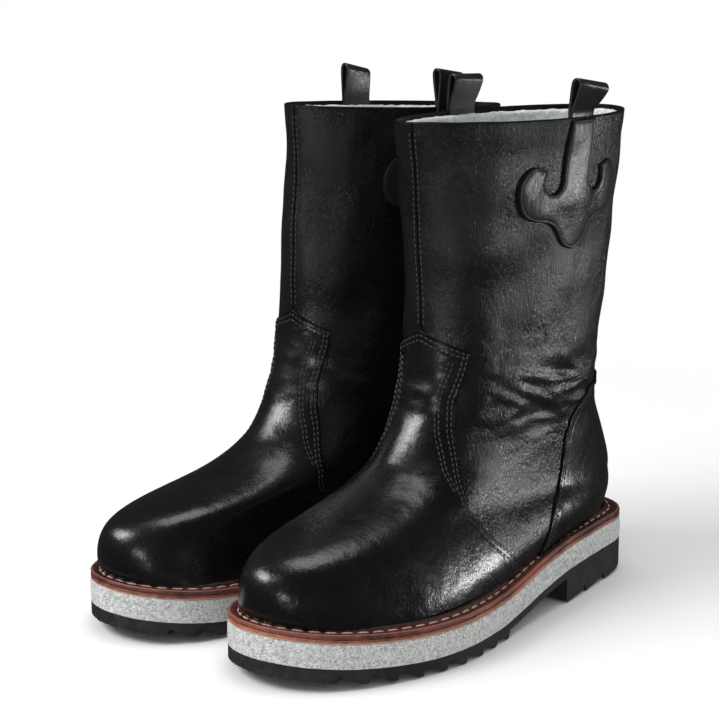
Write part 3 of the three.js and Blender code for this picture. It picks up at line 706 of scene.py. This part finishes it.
def stitch_row(boot, name, path, normal, stitch, finish):
    """A row of thread stitches along a path: each is a long bead, sunk a little in the leather."""
    length, gap, radius, sink = stitch
    steps = np.linalg.norm(np.diff(path, axis=0), axis=1)
    total = np.concatenate([[0], np.cumsum(steps)])
    count = max(1, int(total[-1] / (length + gap)))
    pitch = total[-1] / count

    def at(values, where):
        return np.stack([np.interp(where, total, values[:, k]) for k in range(3)], -1)

    middle = (np.arange(count) + 0.5) * pitch
    reach = pitch * length / (length + gap) / 2
    start, end = at(path, middle - reach), at(path, middle + reach)
    up = at(normal, middle)
    along = unit(end - start)
    side = unit(np.cross(along, up))
    up = np.cross(side, along)
    rings, spokes = 5, 6
    latitude = np.linspace(-1, 1, rings + 2)[1:-1]
    swell = (1 - np.abs(latitude) ** 3) ** 0.5
    turns = np.arange(spokes) * 2 * math.pi / spokes
    bead = [(place, size * math.cos(turn), size * math.sin(turn))
            for place, size in zip(latitude, swell) for turn in turns]
    bead = np.array([(-1, 0, 0), *bead, (1, 0, 0)])
    centre = (start + end) / 2 - up * sink
    half = np.linalg.norm(end - start, axis=1) / 2
    points = (centre[:, None] + bead[None, :, 0:1] * half[:, None, None] * along[:, None]
              + bead[None, :, 1:2] * radius * side[:, None] + bead[None, :, 2:3] * radius * up[:, None])
    last = 1 + (rings - 1) * spokes
    faces = []
    for k in range(spokes):
        k2 = (k + 1) % spokes
        faces.append((0, 1 + k2, 1 + k))
        for row in range(1, last, spokes):
            faces.append((row + k, row + k2, row + spokes + k2, row + spokes + k))
        faces.append((len(bead) - 1, last + k, last + k2))
    all_faces = [tuple(i + n * len(bead) for i in face) for n in range(count) for face in faces]
    return piece(boot, name, points.reshape(-1, 3), all_faces, finish)


def skin_stitches(boot, name, angle, slice_, lift):
    """Stitches along a line on the upper."""
    path = skin(boot, angle, slice_, lift)
    row = stitch_row(boot, name, path, surface_normal(angle, slice_), FINE_STITCH, "thread")
    bend_over_ankle(boot, row)


# ---------------- pieces of the upper


def upper_sheet(boot, name, nodes, angle, slice_, lift, thick, finish, channels=()):
    """A leather piece over a grid of angles and slices, with its sides and top rounded off.

    Channels are the distances from those edges where stitching pulls the leather down.
    """
    mean = upper_point(angle, slice_)
    distance = distance_to(mean, [mean[:, 0], mean[:, -1], mean[-1]])
    drop = rounded(distance, EDGE_RADIUS)
    drop = drop + sum(CHANNEL_DEPTH * bell(distance, row, CHANNEL_HALF) for row in channels)
    outer = skin(boot, angle, slice_, lift - drop)
    inner = skin(boot, angle, slice_, lift - thick)
    points, faces = sheet(outer, inner)
    marks = {"from_edge": np.concatenate([distance.ravel(), 0 * distance.ravel()])}
    obj = piece(boot, name, points, faces, finish, marks=marks)
    stand_for(boot, obj, *nodes)
    bend_over_ankle(boot, obj)


def peaked(up, across, peak, corner):
    """Slices of a grid whose top edge rises to a peak in its middle."""
    return up * (peak - (peak - corner) * np.abs(across))


def vamp(boot):
    """Toe and instep leather, up to the tongue's pointed top."""
    across = (shares(90, 190) * 2 - 1)[None]
    slice_ = peaked(shares(120, 230)[:, None], across, TONGUE_PEAK, TONGUE_CORNER)
    angle = np.radians(across * vamp_edge(np.minimum(slice_, TONGUE_CORNER)))
    upper_sheet(boot, "vamp", ("vamp", "vamp_tongue"), angle, slice_, VAMP_LIFT, LEATHER_THICK, "smooth",
                VAMP_ROWS)


def counter(boot):
    """Cover of the heel."""
    across = (shares(60, 110) * 2 - 1)[None]
    slice_ = peaked(shares(60, 90)[:, None], across, COUNTER_PEAK, COUNTER_CORNER)
    angle = np.radians(180 + across * (180 - counter_edge(slice_)))
    upper_sheet(boot, "counter_cover", ("counter_cover",), angle, slice_, VAMP_LIFT, LEATHER_THICK,
                "smooth", COUNTER_ROWS)


def quarter(boot, side, side_name):
    """One side of the shaft, from the welt to the collar; its lower edges lie under vamp and counter."""
    tuck, seam, thick = 10, 0.25, LEATHER_THICK + 0.9
    front_edge = [(s, a - tuck) for s, a in VAMP_EDGE[:-1]] + [(0.69, 24), (0.71, seam), (1, seam)]
    rear_edge = [(s, a + tuck) for s, a in COUNTER_EDGE] + [(0.642, 180 - seam), (1, 180 - seam)]
    up = shares(125, 270)[:, None]
    across = shares(96, 200)[None]
    front, rear = table_reader(front_edge)(up), table_reader(rear_edge)(up)
    angle = np.radians(side * (front + (rear - front) * across))
    slice_ = up + 0 * across
    if side < 0:
        angle, slice_ = angle[:, ::-1], slice_[:, ::-1]
    nodes = (f"quarter_{side_name}_foot", f"quarter_{side_name}_shaft")
    upper_sheet(boot, f"quarter_{side_name}", nodes, angle, slice_, QUARTER_LIFT, thick, "leather")


def lining(boot):
    """Fleece inside the whole boot, with a tufted face and a soft rolled rim."""
    angle = np.linspace(0, 2 * math.pi, 240, endpoint=False)[None]
    slice_ = np.concatenate([np.linspace(LINING_BOTTOM, 0.8, 80), np.linspace(0.805, LINING_TOP, 60)])
    slice_ = slice_[:, None]
    foot = 1 - smoothstep(slice_, 0.5, 0.62)
    foot_tuck, rim_radius, rise_per_slice = 2.2, 1.6, 330
    outer_offset = LINING_OUTER - foot_tuck * foot
    face_offset = FLEECE_FACE + (FOOT_FLEECE_FACE - FLEECE_FACE) * foot
    mean = upper_point(angle, slice_)
    tuft = 0.55 * lattice_noise(mean / 2.6, boot["seed"] + 7) + 0.35 * lattice_noise(mean / 1.3, 5)
    rim = rounded((LINING_TOP - slice_) * rise_per_slice, rim_radius) * 0.9
    outer = skin(boot, angle, slice_, outer_offset - rim * 0.4)
    inner = skin(boot, angle, slice_, face_offset + tuft + rim)
    wave = 0.5 * lattice_noise(mean[-3:] / 3.1, boot["seed"] + 8)
    outer[-3:, :, 2] += wave
    inner[-3:, :, 2] += wave
    points, faces = sheet(outer, inner, wrap=True)
    obj = piece(boot, "lining", points, faces, "fleece")
    stand_for(boot, obj, "lining_foot", "lining_shaft")
    bend_over_ankle(boot, obj)


def footbed(boot):
    """The loose insole that the foot stands on, dished and fleecy."""
    angle = np.radians(np.linspace(2, 178, 110))
    across = np.linspace(-1, 1, 34)[None]
    inset, top_rise, dish, tuft, under_rise = 22, 6.5, 1.6, 0.5, 3.1
    x_out, y = sole_point(angle, inset)
    x_in, _ = sole_point(-angle, inset)
    x = (x_out + x_in)[:, None] / 2 + (x_out - x_in)[:, None] / 2 * across
    y = y[:, None] + 0 * across
    top = feather_height(y) + top_rise + dish * np.abs(across) ** 3
    top = top + tuft * lattice_noise(np.stack([x, y, top], -1) / 3, boot["seed"])
    edge = 1.5 * smoothstep(np.abs(across), 0.93, 1)
    outer = np.stack([x, y, top - edge], -1)
    inner = np.stack([x, y, feather_height(y) + under_rise], -1)
    points, faces = sheet(outer, inner)
    obj = piece(boot, "footbed", points, faces, "fleece")
    stand_for(boot, obj, "footbed")
    ride(boot, obj, "foot")


# ---------------- strap and loop


def strap_outline():
    """The sewn strap seen from the side: a band that opens into two curled lobes and a point."""
    lobe = natural_spline([(i, *p) for i, p in enumerate(
        [(25, 246), (34, 248.5), (42, 243), (44.5, 233), (41, 223.5), (33, 219), (22, 217),
         (14.5, 211.5), (9, 204.5), (0, 201)])])(np.linspace(0, 9, 64))
    turn = np.radians(np.linspace(180, 340, 22))
    curl = np.stack([19.5 + 8 * np.cos(turn), 241 + 8 * np.sin(turn)], -1)
    tip = natural_spline([(0, *curl[-1]), (1, 26.3, 242.5), (2, 25, 246)])(np.linspace(0, 2, 7))[1:-1]
    top = np.array([(STRAP_HALF, COLLAR_HEIGHT - 1.2)])
    half = np.concatenate([top, curl, tip, lobe])
    other = half[:-1][::-1] * (-1, 1)
    return dense(np.concatenate([half, other, top]), 1.1)[:-1]


def strap_to_wall(boot, side, flat, offset):
    """Side-view (y from the strap's middle, z) to points on the shaft."""
    y = STRAP_CENTRE + flat[:, 0] + STRAP_LEAN * np.clip(flat[:, 1] - 240, 0, None)
    angle, slice_ = wall_place(y, flat[:, 1], side)
    return skin(boot, angle, slice_, offset), surface_normal(angle, slice_)


def inset_ring(outline, depth):
    """The outline moved inwards by depth."""
    tangent = np.roll(outline, -1, axis=0) - np.roll(outline, 1, axis=0)
    normal = unit(np.stack([tangent[:, 1], -tangent[:, 0]], -1))
    area = np.sum(outline[:, 0] * np.roll(outline[:, 1], -1) - np.roll(outline[:, 0], -1) * outline[:, 1])
    return outline - normal * depth * np.sign(area)


def inside(outline, points):
    """Which points lie in a closed outline."""
    x, y = points[:, 0:1], points[:, 1:2]
    x1, y1 = outline.T
    x2, y2 = np.roll(outline, -1, axis=0).T
    with np.errstate(divide="ignore", invalid="ignore"):
        crossing = (y1 > y) != (y2 > y)
        hit = x < (x2 - x1) * (y - y1) / (y2 - y1) + x1
    return (crossing & hit).sum(1) % 2 == 1


def side_faces(cells, size):
    """Faces between a flat patch of cells and its copy, whose points are numbered on by size."""
    edges = [pair for cell in cells for pair in zip(cell, cell[1:] + cell[:1])]
    known = set(edges)
    return [(b, a, a + size, b + size) for a, b in edges if (b, a) not in known]


def strap(boot, side, side_name):
    """The sewn strap with its rounded edge and a sunk stitch line."""
    outline = strap_outline()
    rings = [inset_ring(outline, depth) for depth in (0, 0.1, 0.35, 0.8, 1.4, 1.9, 2.4)]
    rim = [np.vstack([outline, outline[:1]])]
    spacing, clear_of_rings, thread_depth = 2.3, 3.6, 0.40
    grid = np.array([(y, z) for y in np.arange(-46, 47, spacing) for z in np.arange(200, 274, spacing)])
    grid = grid[inside(outline, grid)]
    grid = grid[distance_to(grid, rim) > clear_of_rings]
    count = len(outline)
    edges = [(i, (i + 1) % count) for i in range(count)]
    corners = [Vector(spot) for spot in np.concatenate([*rings, grid])]
    spots, _, cells, *_ = delaunay_2d_cdt(corners, edges, [list(range(count))], 1, 1e-6)
    spots = np.array([tuple(spot) for spot in spots])
    depth = distance_to(spots, rim)
    groove = STRAP_GROOVE * bell(depth, STRAP_ROW, GROOVE_HALF)
    crown = 0.10 * smoothstep(depth, 2, 8)
    height = STRAP_LIFT - rounded(depth, STRAP_EDGE) - groove + crown
    top, _ = strap_to_wall(boot, side, spots, height)
    bottom, _ = strap_to_wall(boot, side, spots, QUARTER_LIFT - 0.2 + 0 * depth)
    size = len(spots)
    faces = [*cells, *([i + size for i in cell[::-1]] for cell in cells), *side_faces(cells, size)]
    points = np.concatenate([top, bottom])
    marks = {"from_edge": np.concatenate([depth * 0.7, 0 * depth])}
    obj = piece(boot, f"strap_{side_name}", points, outward(points, faces), "strap", marks=marks)
    stand_for(boot, obj, f"strap_{side_name}")
    ride(boot, obj, "shaft")
    ring = inset_ring(outline, STRAP_ROW)[2:-1]
    path, normal = strap_to_wall(boot, side, ring, STRAP_LIFT - thread_depth + 0 * ring[:, 0])
    row = stitch_row(boot, f"strap_stitches_{side_name}", path, normal, STRAP_STITCH, "thread")
    ride(boot, row, "shaft")


def loop_section():
    """Rounded section of the loop's strap: across its width and its thickness."""
    half, thick, round_ = STRAP_HALF, 0.75, 0.55
    section = []
    for across, through, start in ((1, 1, 0), (-1, 1, 90), (-1, -1, 180), (1, -1, 270)):
        for turn in np.radians(start + np.arange(0, 91, 30)):
            section.append((across * (half - round_) + round_ * math.cos(turn),
                            through * (thick - round_) + round_ * math.sin(turn)))
    return np.array(section)


def loop_spine():
    """Middle line of the folded strap: distance out from the collar and height above it."""
    top, spread, root = 2.9, 2.45, -9.0
    crown = LOOP_RISE - top
    rise = np.linspace(root, crown, 26)
    leg = 0.8 + (spread - 0.8) * smoothstep(rise, 0, crown)
    arch = np.radians(np.linspace(0, 180, 17))[1:-1]
    across = np.concatenate([leg, spread * np.cos(arch), -leg[::-1]])
    height = np.concatenate([rise, crown + top * np.sin(arch), rise[::-1]])
    return np.stack([across, height], -1)


def pull_loop(boot, side, side_name):
    """A folded strap that stands up out of the collar, between leather and lining."""
    angle, slice_ = wall_place(np.array([LOOP_Y]), np.array([COLLAR_HEIGHT]), side)
    base = upper_point(angle, slice_)[0]
    out = unit(surface_normal(angle, slice_)[0] * (1, 1, 0))
    tangent = np.cross((0, 0, 1), out) * side
    base = base - out * LOOP_INSET
    section, spine = loop_section(), loop_spine()
    along = unit(np.gradient(spine, axis=0))
    wide = section[None, :, 0]
    flat = spine[:, None] + section[None, :, 1:] * np.stack([along[:, 1], -along[:, 0]], -1)[:, None]
    lean, twist, droop = boot["loops"][side_name]
    above = flat[..., 1] - LOOP_PIVOT
    turn = np.radians(lean + twist * wide / STRAP_HALF) * smoothstep(above, -5, 6)
    across = flat[..., 0] * np.cos(turn) + above * np.sin(turn)
    height = LOOP_PIVOT + above * np.cos(turn) - flat[..., 0] * np.sin(turn)
    height -= droop * wide / STRAP_HALF * smoothstep(above, 0, LOOP_RISE)
    points = (base + across[..., None] * out + wide[..., None] * tangent
              + height[..., None] * np.array((0, 0, 1)))
    rows, columns = points.shape[:2]
    ends = [range(columns)[::-1], range((rows - 1) * columns, rows * columns)]
    faces = [*grid_quads(rows, columns, wrap=True), *ends]
    points = points.reshape(-1, 3)
    name, body = f"pull_loop_{side_name}", f"loop_{side_name}"
    marks = {"from_edge": np.full(len(points), 4.0)}
    obj = piece(boot, name, points, outward(points, faces), "strap", marks=marks)
    stand_for(boot, obj, name)
    bend(boot, obj, "shaft", body, f"{body}_tip", LOOP_BLEND)


# ---------------- seams


def shaft_stitches(boot):
    """Stitches on both sides of the shaft's front and back seams."""
    for number, (side, (place, middle, start)) in enumerate(product((1, -1), SHAFT_SEAMS)):
        slices = np.linspace(start + 0.006, STITCH_END, 260)
        ahead, behind = (upper_point(np.radians(middle + turn), slices) for turn in (1, -1))
        per_degree = np.linalg.norm(ahead - behind, axis=-1) / 2
        angle = np.radians(middle + SHAFT_SEAM_ROW * side / per_degree)
        skin_stitches(boot, f"{place}_seam_stitches_{number}", angle, slices, QUARTER_LIFT)


def shifted_line(angle, slice_, shift):
    """A line on the upper moved sideways along the surface by shift millimetres."""
    path = upper_point(angle, slice_)
    side = unit(np.cross(surface_normal(angle, slice_), np.gradient(path, axis=0)))
    wanted = side * np.broadcast_to(shift, len(path))[:, None]
    step = 0.002
    round_ = (upper_point(angle + step, slice_) - path) / step
    climb = (upper_point(angle, slice_ + step) - path) / step
    pairs = (round_, round_), (round_, climb), (climb, climb), (round_, wanted), (climb, wanted)
    a, b, c, p, q = (np.einsum("ij,ij->i", *pair) for pair in pairs)
    scale = a * c - b * b
    return angle + (p * c - q * b) / scale, slice_ + (q * a - p * b) / scale


def smooth_line(values, passes=12):
    """Evens out the corners of a line that was read from a table."""
    values = values.copy()
    for _ in range(passes):
        values[1:-1] = (values[:-2] + 2 * values[1:-1] + values[2:]) / 4
    return values


def vamp_stitches(boot, side, side_name):
    """Double row along the vamp's edge and its top, with a second pair where the edge band widens."""
    up = np.linspace(STITCH_START, TONGUE_CORNER, 400)
    edge = np.radians(side * smooth_line(vamp_edge(up)))
    band = 6.2 * smoothstep(up, 0.36, 0.47)
    rows = [(row, STITCH_START, 0.005) for row in VAMP_ROWS]
    rows += [(row + band + 1, 0.4, 0.02) for row in VAMP_ROWS]
    for number, (shift, start, short) in enumerate(rows):
        angle, slice_ = shifted_line(edge, up, side * shift)
        keep = (slice_ > start) & (slice_ < TONGUE_CORNER - short)
        skin_stitches(boot, f"vamp_stitches_{side_name}_{number}", angle[keep], slice_[keep], VAMP_LIFT)
    corner = VAMP_EDGE[-1][1]
    for number, drop in enumerate((0.007, 0.016)):
        turn = np.linspace(0, corner - 2.5 * number, 60)
        slice_ = TONGUE_PEAK - (TONGUE_PEAK - TONGUE_CORNER) * turn / corner - drop
        angle = np.radians(side * turn)
        skin_stitches(boot, f"tongue_stitches_{side_name}_{number}", angle, slice_, VAMP_LIFT)


def counter_stitches(boot, side, side_name):
    """Double row behind the counter's front edge and across its top."""
    up = np.linspace(STITCH_START, COUNTER_CORNER, 300)
    corner = COUNTER_EDGE[-1][1]
    turn = np.linspace(corner, 180, 60)[1:]
    over = COUNTER_CORNER + (COUNTER_PEAK - COUNTER_CORNER) * (turn - corner) / (180 - corner)
    slice_ = np.concatenate([up, over])
    edge = np.radians(side * smooth_line(np.concatenate([counter_edge(up), turn])))
    for number, shift in enumerate(COUNTER_ROWS):
        angle, place = shifted_line(edge, slice_, -side * shift)
        keep = (place > STITCH_START) & (np.abs(angle) < math.pi)
        skin_stitches(boot, f"counter_stitches_{side_name}_{number}", angle[keep], place[keep], VAMP_LIFT)


# ---------------- sole


def swept_ring(section, wave, seed, count=420):
    """A ring round the sole: section is a list of (inset, height above the midsole's underside).

    Wave is how far its edge wanders in and out.
    """
    angle = np.linspace(0, 2 * math.pi, count, endpoint=False)
    loops = []
    for inset, height in section:
        x, y = sole_point(angle, inset)
        z = midsole_under(y) + height
        spots = np.stack([x, y, z], -1)
        x, y = sole_point(angle, inset + wave * lattice_noise(spots / 9, seed))
        loops.append(np.stack([x, y, z], -1))
    points = np.stack(loops, 1)
    rows, columns = points.shape[:2]
    return points.reshape(-1, 3), grid_quads(rows + 1, columns, wrap=True) % (rows * columns)


def rounded_section(low, high, inner, radius, inset, bulge, steps=6):
    """Section of a sole layer's rim: rounded outer corners, slight bulge, flat back at inner."""
    turn = np.radians(np.linspace(0, 90, 5))
    lower = [(inset + radius * (1 - math.sin(a)), low + radius * (1 - math.cos(a))) for a in turn]
    upper = [(inset + radius * (1 - math.cos(a)), high - radius * (1 - math.sin(a))) for a in turn]
    side = [(inset - bulge * math.sin(math.pi * t), low + radius + (high - low - 2 * radius) * t)
            for t in np.linspace(0, 1, steps + 1)[1:-1]]
    return [(inner, low), *lower, *side, *upper, (inner, high)]


def ring_piece(boot, name, section, finish, wave):
    """A sole layer's ring; it carries each point's inset and its height in the section."""
    points, faces = swept_ring(section, wave, boot["seed"])
    inset, level = np.array(section).T
    turns = len(points) // len(section)
    marks = {"inset": np.tile(inset, turns), "level": np.tile(level - level.min(), turns)}
    obj = piece(boot, name, points, outward(points, faces), finish, marks=marks)
    stand_for(boot, obj, name)
    ride(boot, obj, "foot")


def welt(boot):
    """Storm welt with a stitch groove, and its row of long pale stitches."""
    base = MIDSOLE_THICK + SLIP_SOLE_THICK
    face = base + WELT_THICK
    section = rounded_section(base + 0.15, face, 19, 0.9, 0.1, 0.1)[:-1]
    section += [(inset, face + rise) for inset, rise in WELT_GROOVE + WELT_BEAD]
    ring_piece(boot, "welt", section, "welt", 0.35)
    angle = np.linspace(0, 2 * math.pi, 1500)
    x, y = sole_point(angle, THREAD_INSET)
    path = np.stack([x, y, midsole_under(y) + face - 0.2], -1)
    normal = np.zeros_like(path) + (0, 0, 1)
    row = stitch_row(boot, "welt_stitches", path, normal, WELT_STITCH, "welt_thread")
    stand_for(boot, row, "welt_thread")
    ride(boot, row, "foot")


def slip_sole(boot):
    section = rounded_section(MIDSOLE_THICK, MIDSOLE_THICK + SLIP_SOLE_THICK, 30, 0.45, 0.2, 0.15)
    ring_piece(boot, "slip_sole", section, "slip", 0.25)


def midsole(boot):
    section = rounded_section(0.05, MIDSOLE_THICK - 0.1, 40, 0.8, 0.0, 0.25, 14)
    ring_piece(boot, "midsole", section, "midsole", 0.2)


def tread_height(x, y, edge):
    """Underside of the outsole: ribbed toe block, slanted sawtooth edge lugs, centre bars, smooth waist."""
    web = midsole_under(y) - OUTSOLE_WEB
    ground = toe_lift(y)
    front = TREAD_FRONT - TREAD_MEDIAL_SHIFT * smoothstep(-x, 0, 12)
    slant = 0.85 * np.minimum(edge, TREAD_LUG_WIDTH)
    phase = ((y - front - slant) / TREAD_PITCH) % 1
    lug = np.clip((phase - 0.28) / 0.42, 0, 1) * (1 - smoothstep(phase, 0.965, 0.995))
    bar_phase = ((y - front + 0.4 * np.abs(x - 5)) / TREAD_PITCH) % 1
    bar = smoothstep(bar_phase, 0.4, 0.48) * (1 - smoothstep(bar_phase, 0.9, 0.98))
    centre = smoothstep(edge, TREAD_LUG_WIDTH + 0.4, TREAD_LUG_WIDTH + 1.4)
    channel = bell(edge, TREAD_LUG_WIDTH + 0.8, 1.1)
    pattern = (lug * (1 - centre) + bar * centre) * (1 - channel)
    turn = np.arctan2(x, -(y + 80))
    rib = (0.5 + 0.5 * np.cos(turn * 130)) * bell(edge, 0, 7)
    pattern = np.where(y < front, 1 - 0.24 * rib, pattern)
    pattern = pattern * (1 - smoothstep(y, TREAD_REAR - 0.6, TREAD_REAR + 0.6))
    return web + (ground - web) * pattern


def tread_piece(boot, name, low_y, height_of, top_of):
    """A tread block from low_y to the heel's end: a height field under the sole's outline."""
    half = SOLE_LENGTH / 2
    high_y = half - TREAD_END_GAP
    rows = int((high_y - low_y) / TREAD_SPACING)
    y = low_y + (high_y - low_y) * np.linspace(0, 1, rows)
    angle = np.arccos(np.clip(-y / half, -1, 1))
    x_out, _ = sole_point(angle, 0)
    x_in, _ = sole_point(-angle, 0)
    across = np.concatenate([[0, 0.004, 0.012], np.linspace(0.025, 0.975, 90), [0.988, 0.996, 1]])[None]
    x = x_in[:, None] + (x_out - x_in)[:, None] * across
    y = y[:, None] + 0 * across
    edge = np.minimum(x - x_in[:, None], x_out[:, None] - x)
    edge = np.minimum(edge, np.minimum(y + half, half - y))
    bottom = np.stack([x, y, height_of(x, y, edge)], -1)
    top = np.stack([x, y, top_of(y)], -1)
    points, faces = sheet(top, bottom)
    obj = piece(boot, name, points, outward(points, faces), "rubber", smooth=False)
    stand_for(boot, obj, name)
    ride(boot, obj, "foot")


def outsole(boot):
    tread_piece(boot, "outsole", TREAD_END_GAP - SOLE_LENGTH / 2, tread_height, midsole_under)


def heel_height(_, y, edge):
    """Underside of the heel: two cross grooves that open at the edge and a ring channel."""
    groove = sum(1 - smoothstep(np.abs(y - middle), 0.8, 2.0) for middle in HEEL_GROOVES)
    notch = np.clip(groove * (0.35 + 0.65 * (1 - smoothstep(edge, 10, 14))), 0, 1)
    ring = 0.5 * bell(edge, 14, 1.4) * smoothstep(y, HEEL_BREAST + 8, HEEL_BREAST + 10)
    starts = np.array([HEEL_BREAST, *HEEL_GROOVES])
    lug_start = starts[np.clip(np.searchsorted(starts, y) - 1, 0, 2)]
    taper = 2.0 * np.clip((y - lug_start) / 24, 0, 1) + 1.6 * smoothstep(y, 122, 150)
    breast = 0.8 * (1 - smoothstep(y, HEEL_BREAST, HEEL_BREAST + 1.5))
    return 4.2 * notch + (2.5 * ring + taper) * (1 - notch) + breast


def heel_block(boot):
    tread_piece(boot, "heel_block", HEEL_BREAST, heel_height, lambda y: midsole_under(y) - OUTSOLE_WEB + 0.4)


# ---------------- assembly


def hidden_pieces(boot):
    """CAD pieces inside the boot keep their shape and get the finish of what they are made of."""
    finishes = {"toe_cap": "steel", "heel_stiffener": "board", "insole_board": "board",
                "puncture_plate": "steel", "shank": "steel", "cork_filler": "cork"}
    for node, finish in finishes.items():
        mesh = frame["nodes"][f"{boot['name']}_{node}"].data
        mesh.materials.clear()
        mesh.materials.append(MATERIALS[finish])


def build(boot):
    vamp(boot)
    counter(boot)
    lining(boot)
    footbed(boot)
    for side in SIDES:
        quarter(boot, *side)
        strap(boot, *side)
        pull_loop(boot, *side)
    shaft_stitches(boot)
    for side in SIDES:
        vamp_stitches(boot, *side)
        counter_stitches(boot, *side)
    welt(boot)
    slip_sole(boot)
    midsole(boot)
    outsole(boot)
    heel_block(boot)
    hidden_pieces(boot)


def white_floor():
    """Pale paper that fades into the white surroundings away from the boots."""
    n = Nodes("floor_paper")
    n.set(Base_Color=(0.88, 0.88, 0.88, 1), Roughness=0.95, Specular_IOR_Level=0.05)
    length = n.add("ShaderNodeVectorMath", {0: n.place}, operation="LENGTH").outputs["Value"]
    seen = n.add("ShaderNodeLightPath").outputs["Is Camera Ray"]
    away = n.times(n.ramp(length, 0.28, 0.75), seen)
    glow = n.add("ShaderNodeEmission").outputs[0]
    blend = n.add("ShaderNodeMixShader", {0: away, 1: n.shader.outputs[0], 2: glow})
    connect(n.tree, blend.outputs[0], n.tree.nodes["Material Output"].inputs["Surface"])
    return n.material


def white_world():
    """White to the camera, soft fill on surfaces and dark in reflections."""
    fill, mirrored, seen = 0.62, 0.035, 1.0
    world = bpy.data.worlds.new("studio")
    bpy.context.scene.world = world
    world.use_nodes = True
    tree = world.node_tree
    ray = tree.nodes.new("ShaderNodeLightPath")
    strength = fill
    for output, level in (("Is Glossy Ray", mirrored), ("Is Camera Ray", seen)):
        step = tree.nodes.new("ShaderNodeMix")
        connect(tree, ray.outputs[output], step.inputs["Factor"])
        connect(tree, strength, step.inputs["A"])
        connect(tree, level, step.inputs["B"])
        strength = step.outputs["Result"]
    connect(tree, strength, tree.nodes["Background"].inputs["Strength"])
    tree.nodes["Background"].inputs["Color"].default_value = (1, 1, 1, 1)


def stage():
    """Pale floor in white surroundings."""
    bpy.ops.mesh.primitive_plane_add(size=14, location=(0, 0, -0.0005))
    floor = bpy.context.object
    floor.name = "floor"
    floor.visible_glossy = False
    floor.data.materials.append(white_floor())
    white_world()
    bpy.context.scene.view_settings.view_transform = "Standard"


def soft_box(name, place, target, width, height, power):
    data = bpy.data.lights.new(name, "AREA")
    data.shape = "RECTANGLE"
    data.size, data.size_y = width, height
    data.energy = power
    light = bpy.data.objects.new(name, data)
    light.location = place
    light.rotation_euler = (Vector(target) - Vector(place)).to_track_quat("-Z", "Y").to_euler()
    bpy.context.scene.collection.objects.link(light)


def camera(azimuth, elevation, place, lens):
    """A camera at a place in the row frame, turned back from the view's azimuth and elevation."""
    azimuth, elevation = math.radians(azimuth), math.radians(elevation)
    back = Vector((math.sin(azimuth) * math.cos(elevation), -math.cos(azimuth) * math.cos(elevation),
                   math.sin(elevation)))
    data = bpy.data.cameras.new("camera")
    data.lens = lens
    data.sensor_width = 36
    view = bpy.data.objects.new("camera", data)
    view.location = place
    view.rotation_euler = back.to_track_quat("Z", "Y").to_euler()
    bpy.context.scene.collection.objects.link(view)
    bpy.context.scene.camera = view


# Soft boxes: name, place, aim, width, height, power in watts.
SOFT_BOXES = [
    ("key_box", (-0.95, -1.35, 1.55), (0, 0, 0.12), 1.5, 0.9, 23),
    ("front_box", (-0.50, -1.55, 1.50), (0, 0, 0.12), 1.0, 0.7, 14),
    ("low_side_box", (1.22, 1.40, 0.08), (0, 0, 0.20), 0.40, 0.12, 5.5),
    ("low_front_box", (1.00, -1.90, 0.14), (0, 0, 0.20), 0.3, 0.25, 4),
    ("top_box", (0.1, 0.3, 2.0), (0, 0, 0.1), 1.1, 0.9, 9),
]

build(boot_frame("left", 1, 3, {"lateral": (22, 9, 0.9), "medial": (-14, -4, 0.0)}))
build(boot_frame("right", -1, 17, {"lateral": (0, 3, 1.8), "medial": (0, 2, 1.2)}))
stage()
for box in SOFT_BOXES:
    soft_box(*box)
camera(azimuth=42.235, elevation=11.622, place=(0.7007, -0.7882, 0.3534), lens=95.06)
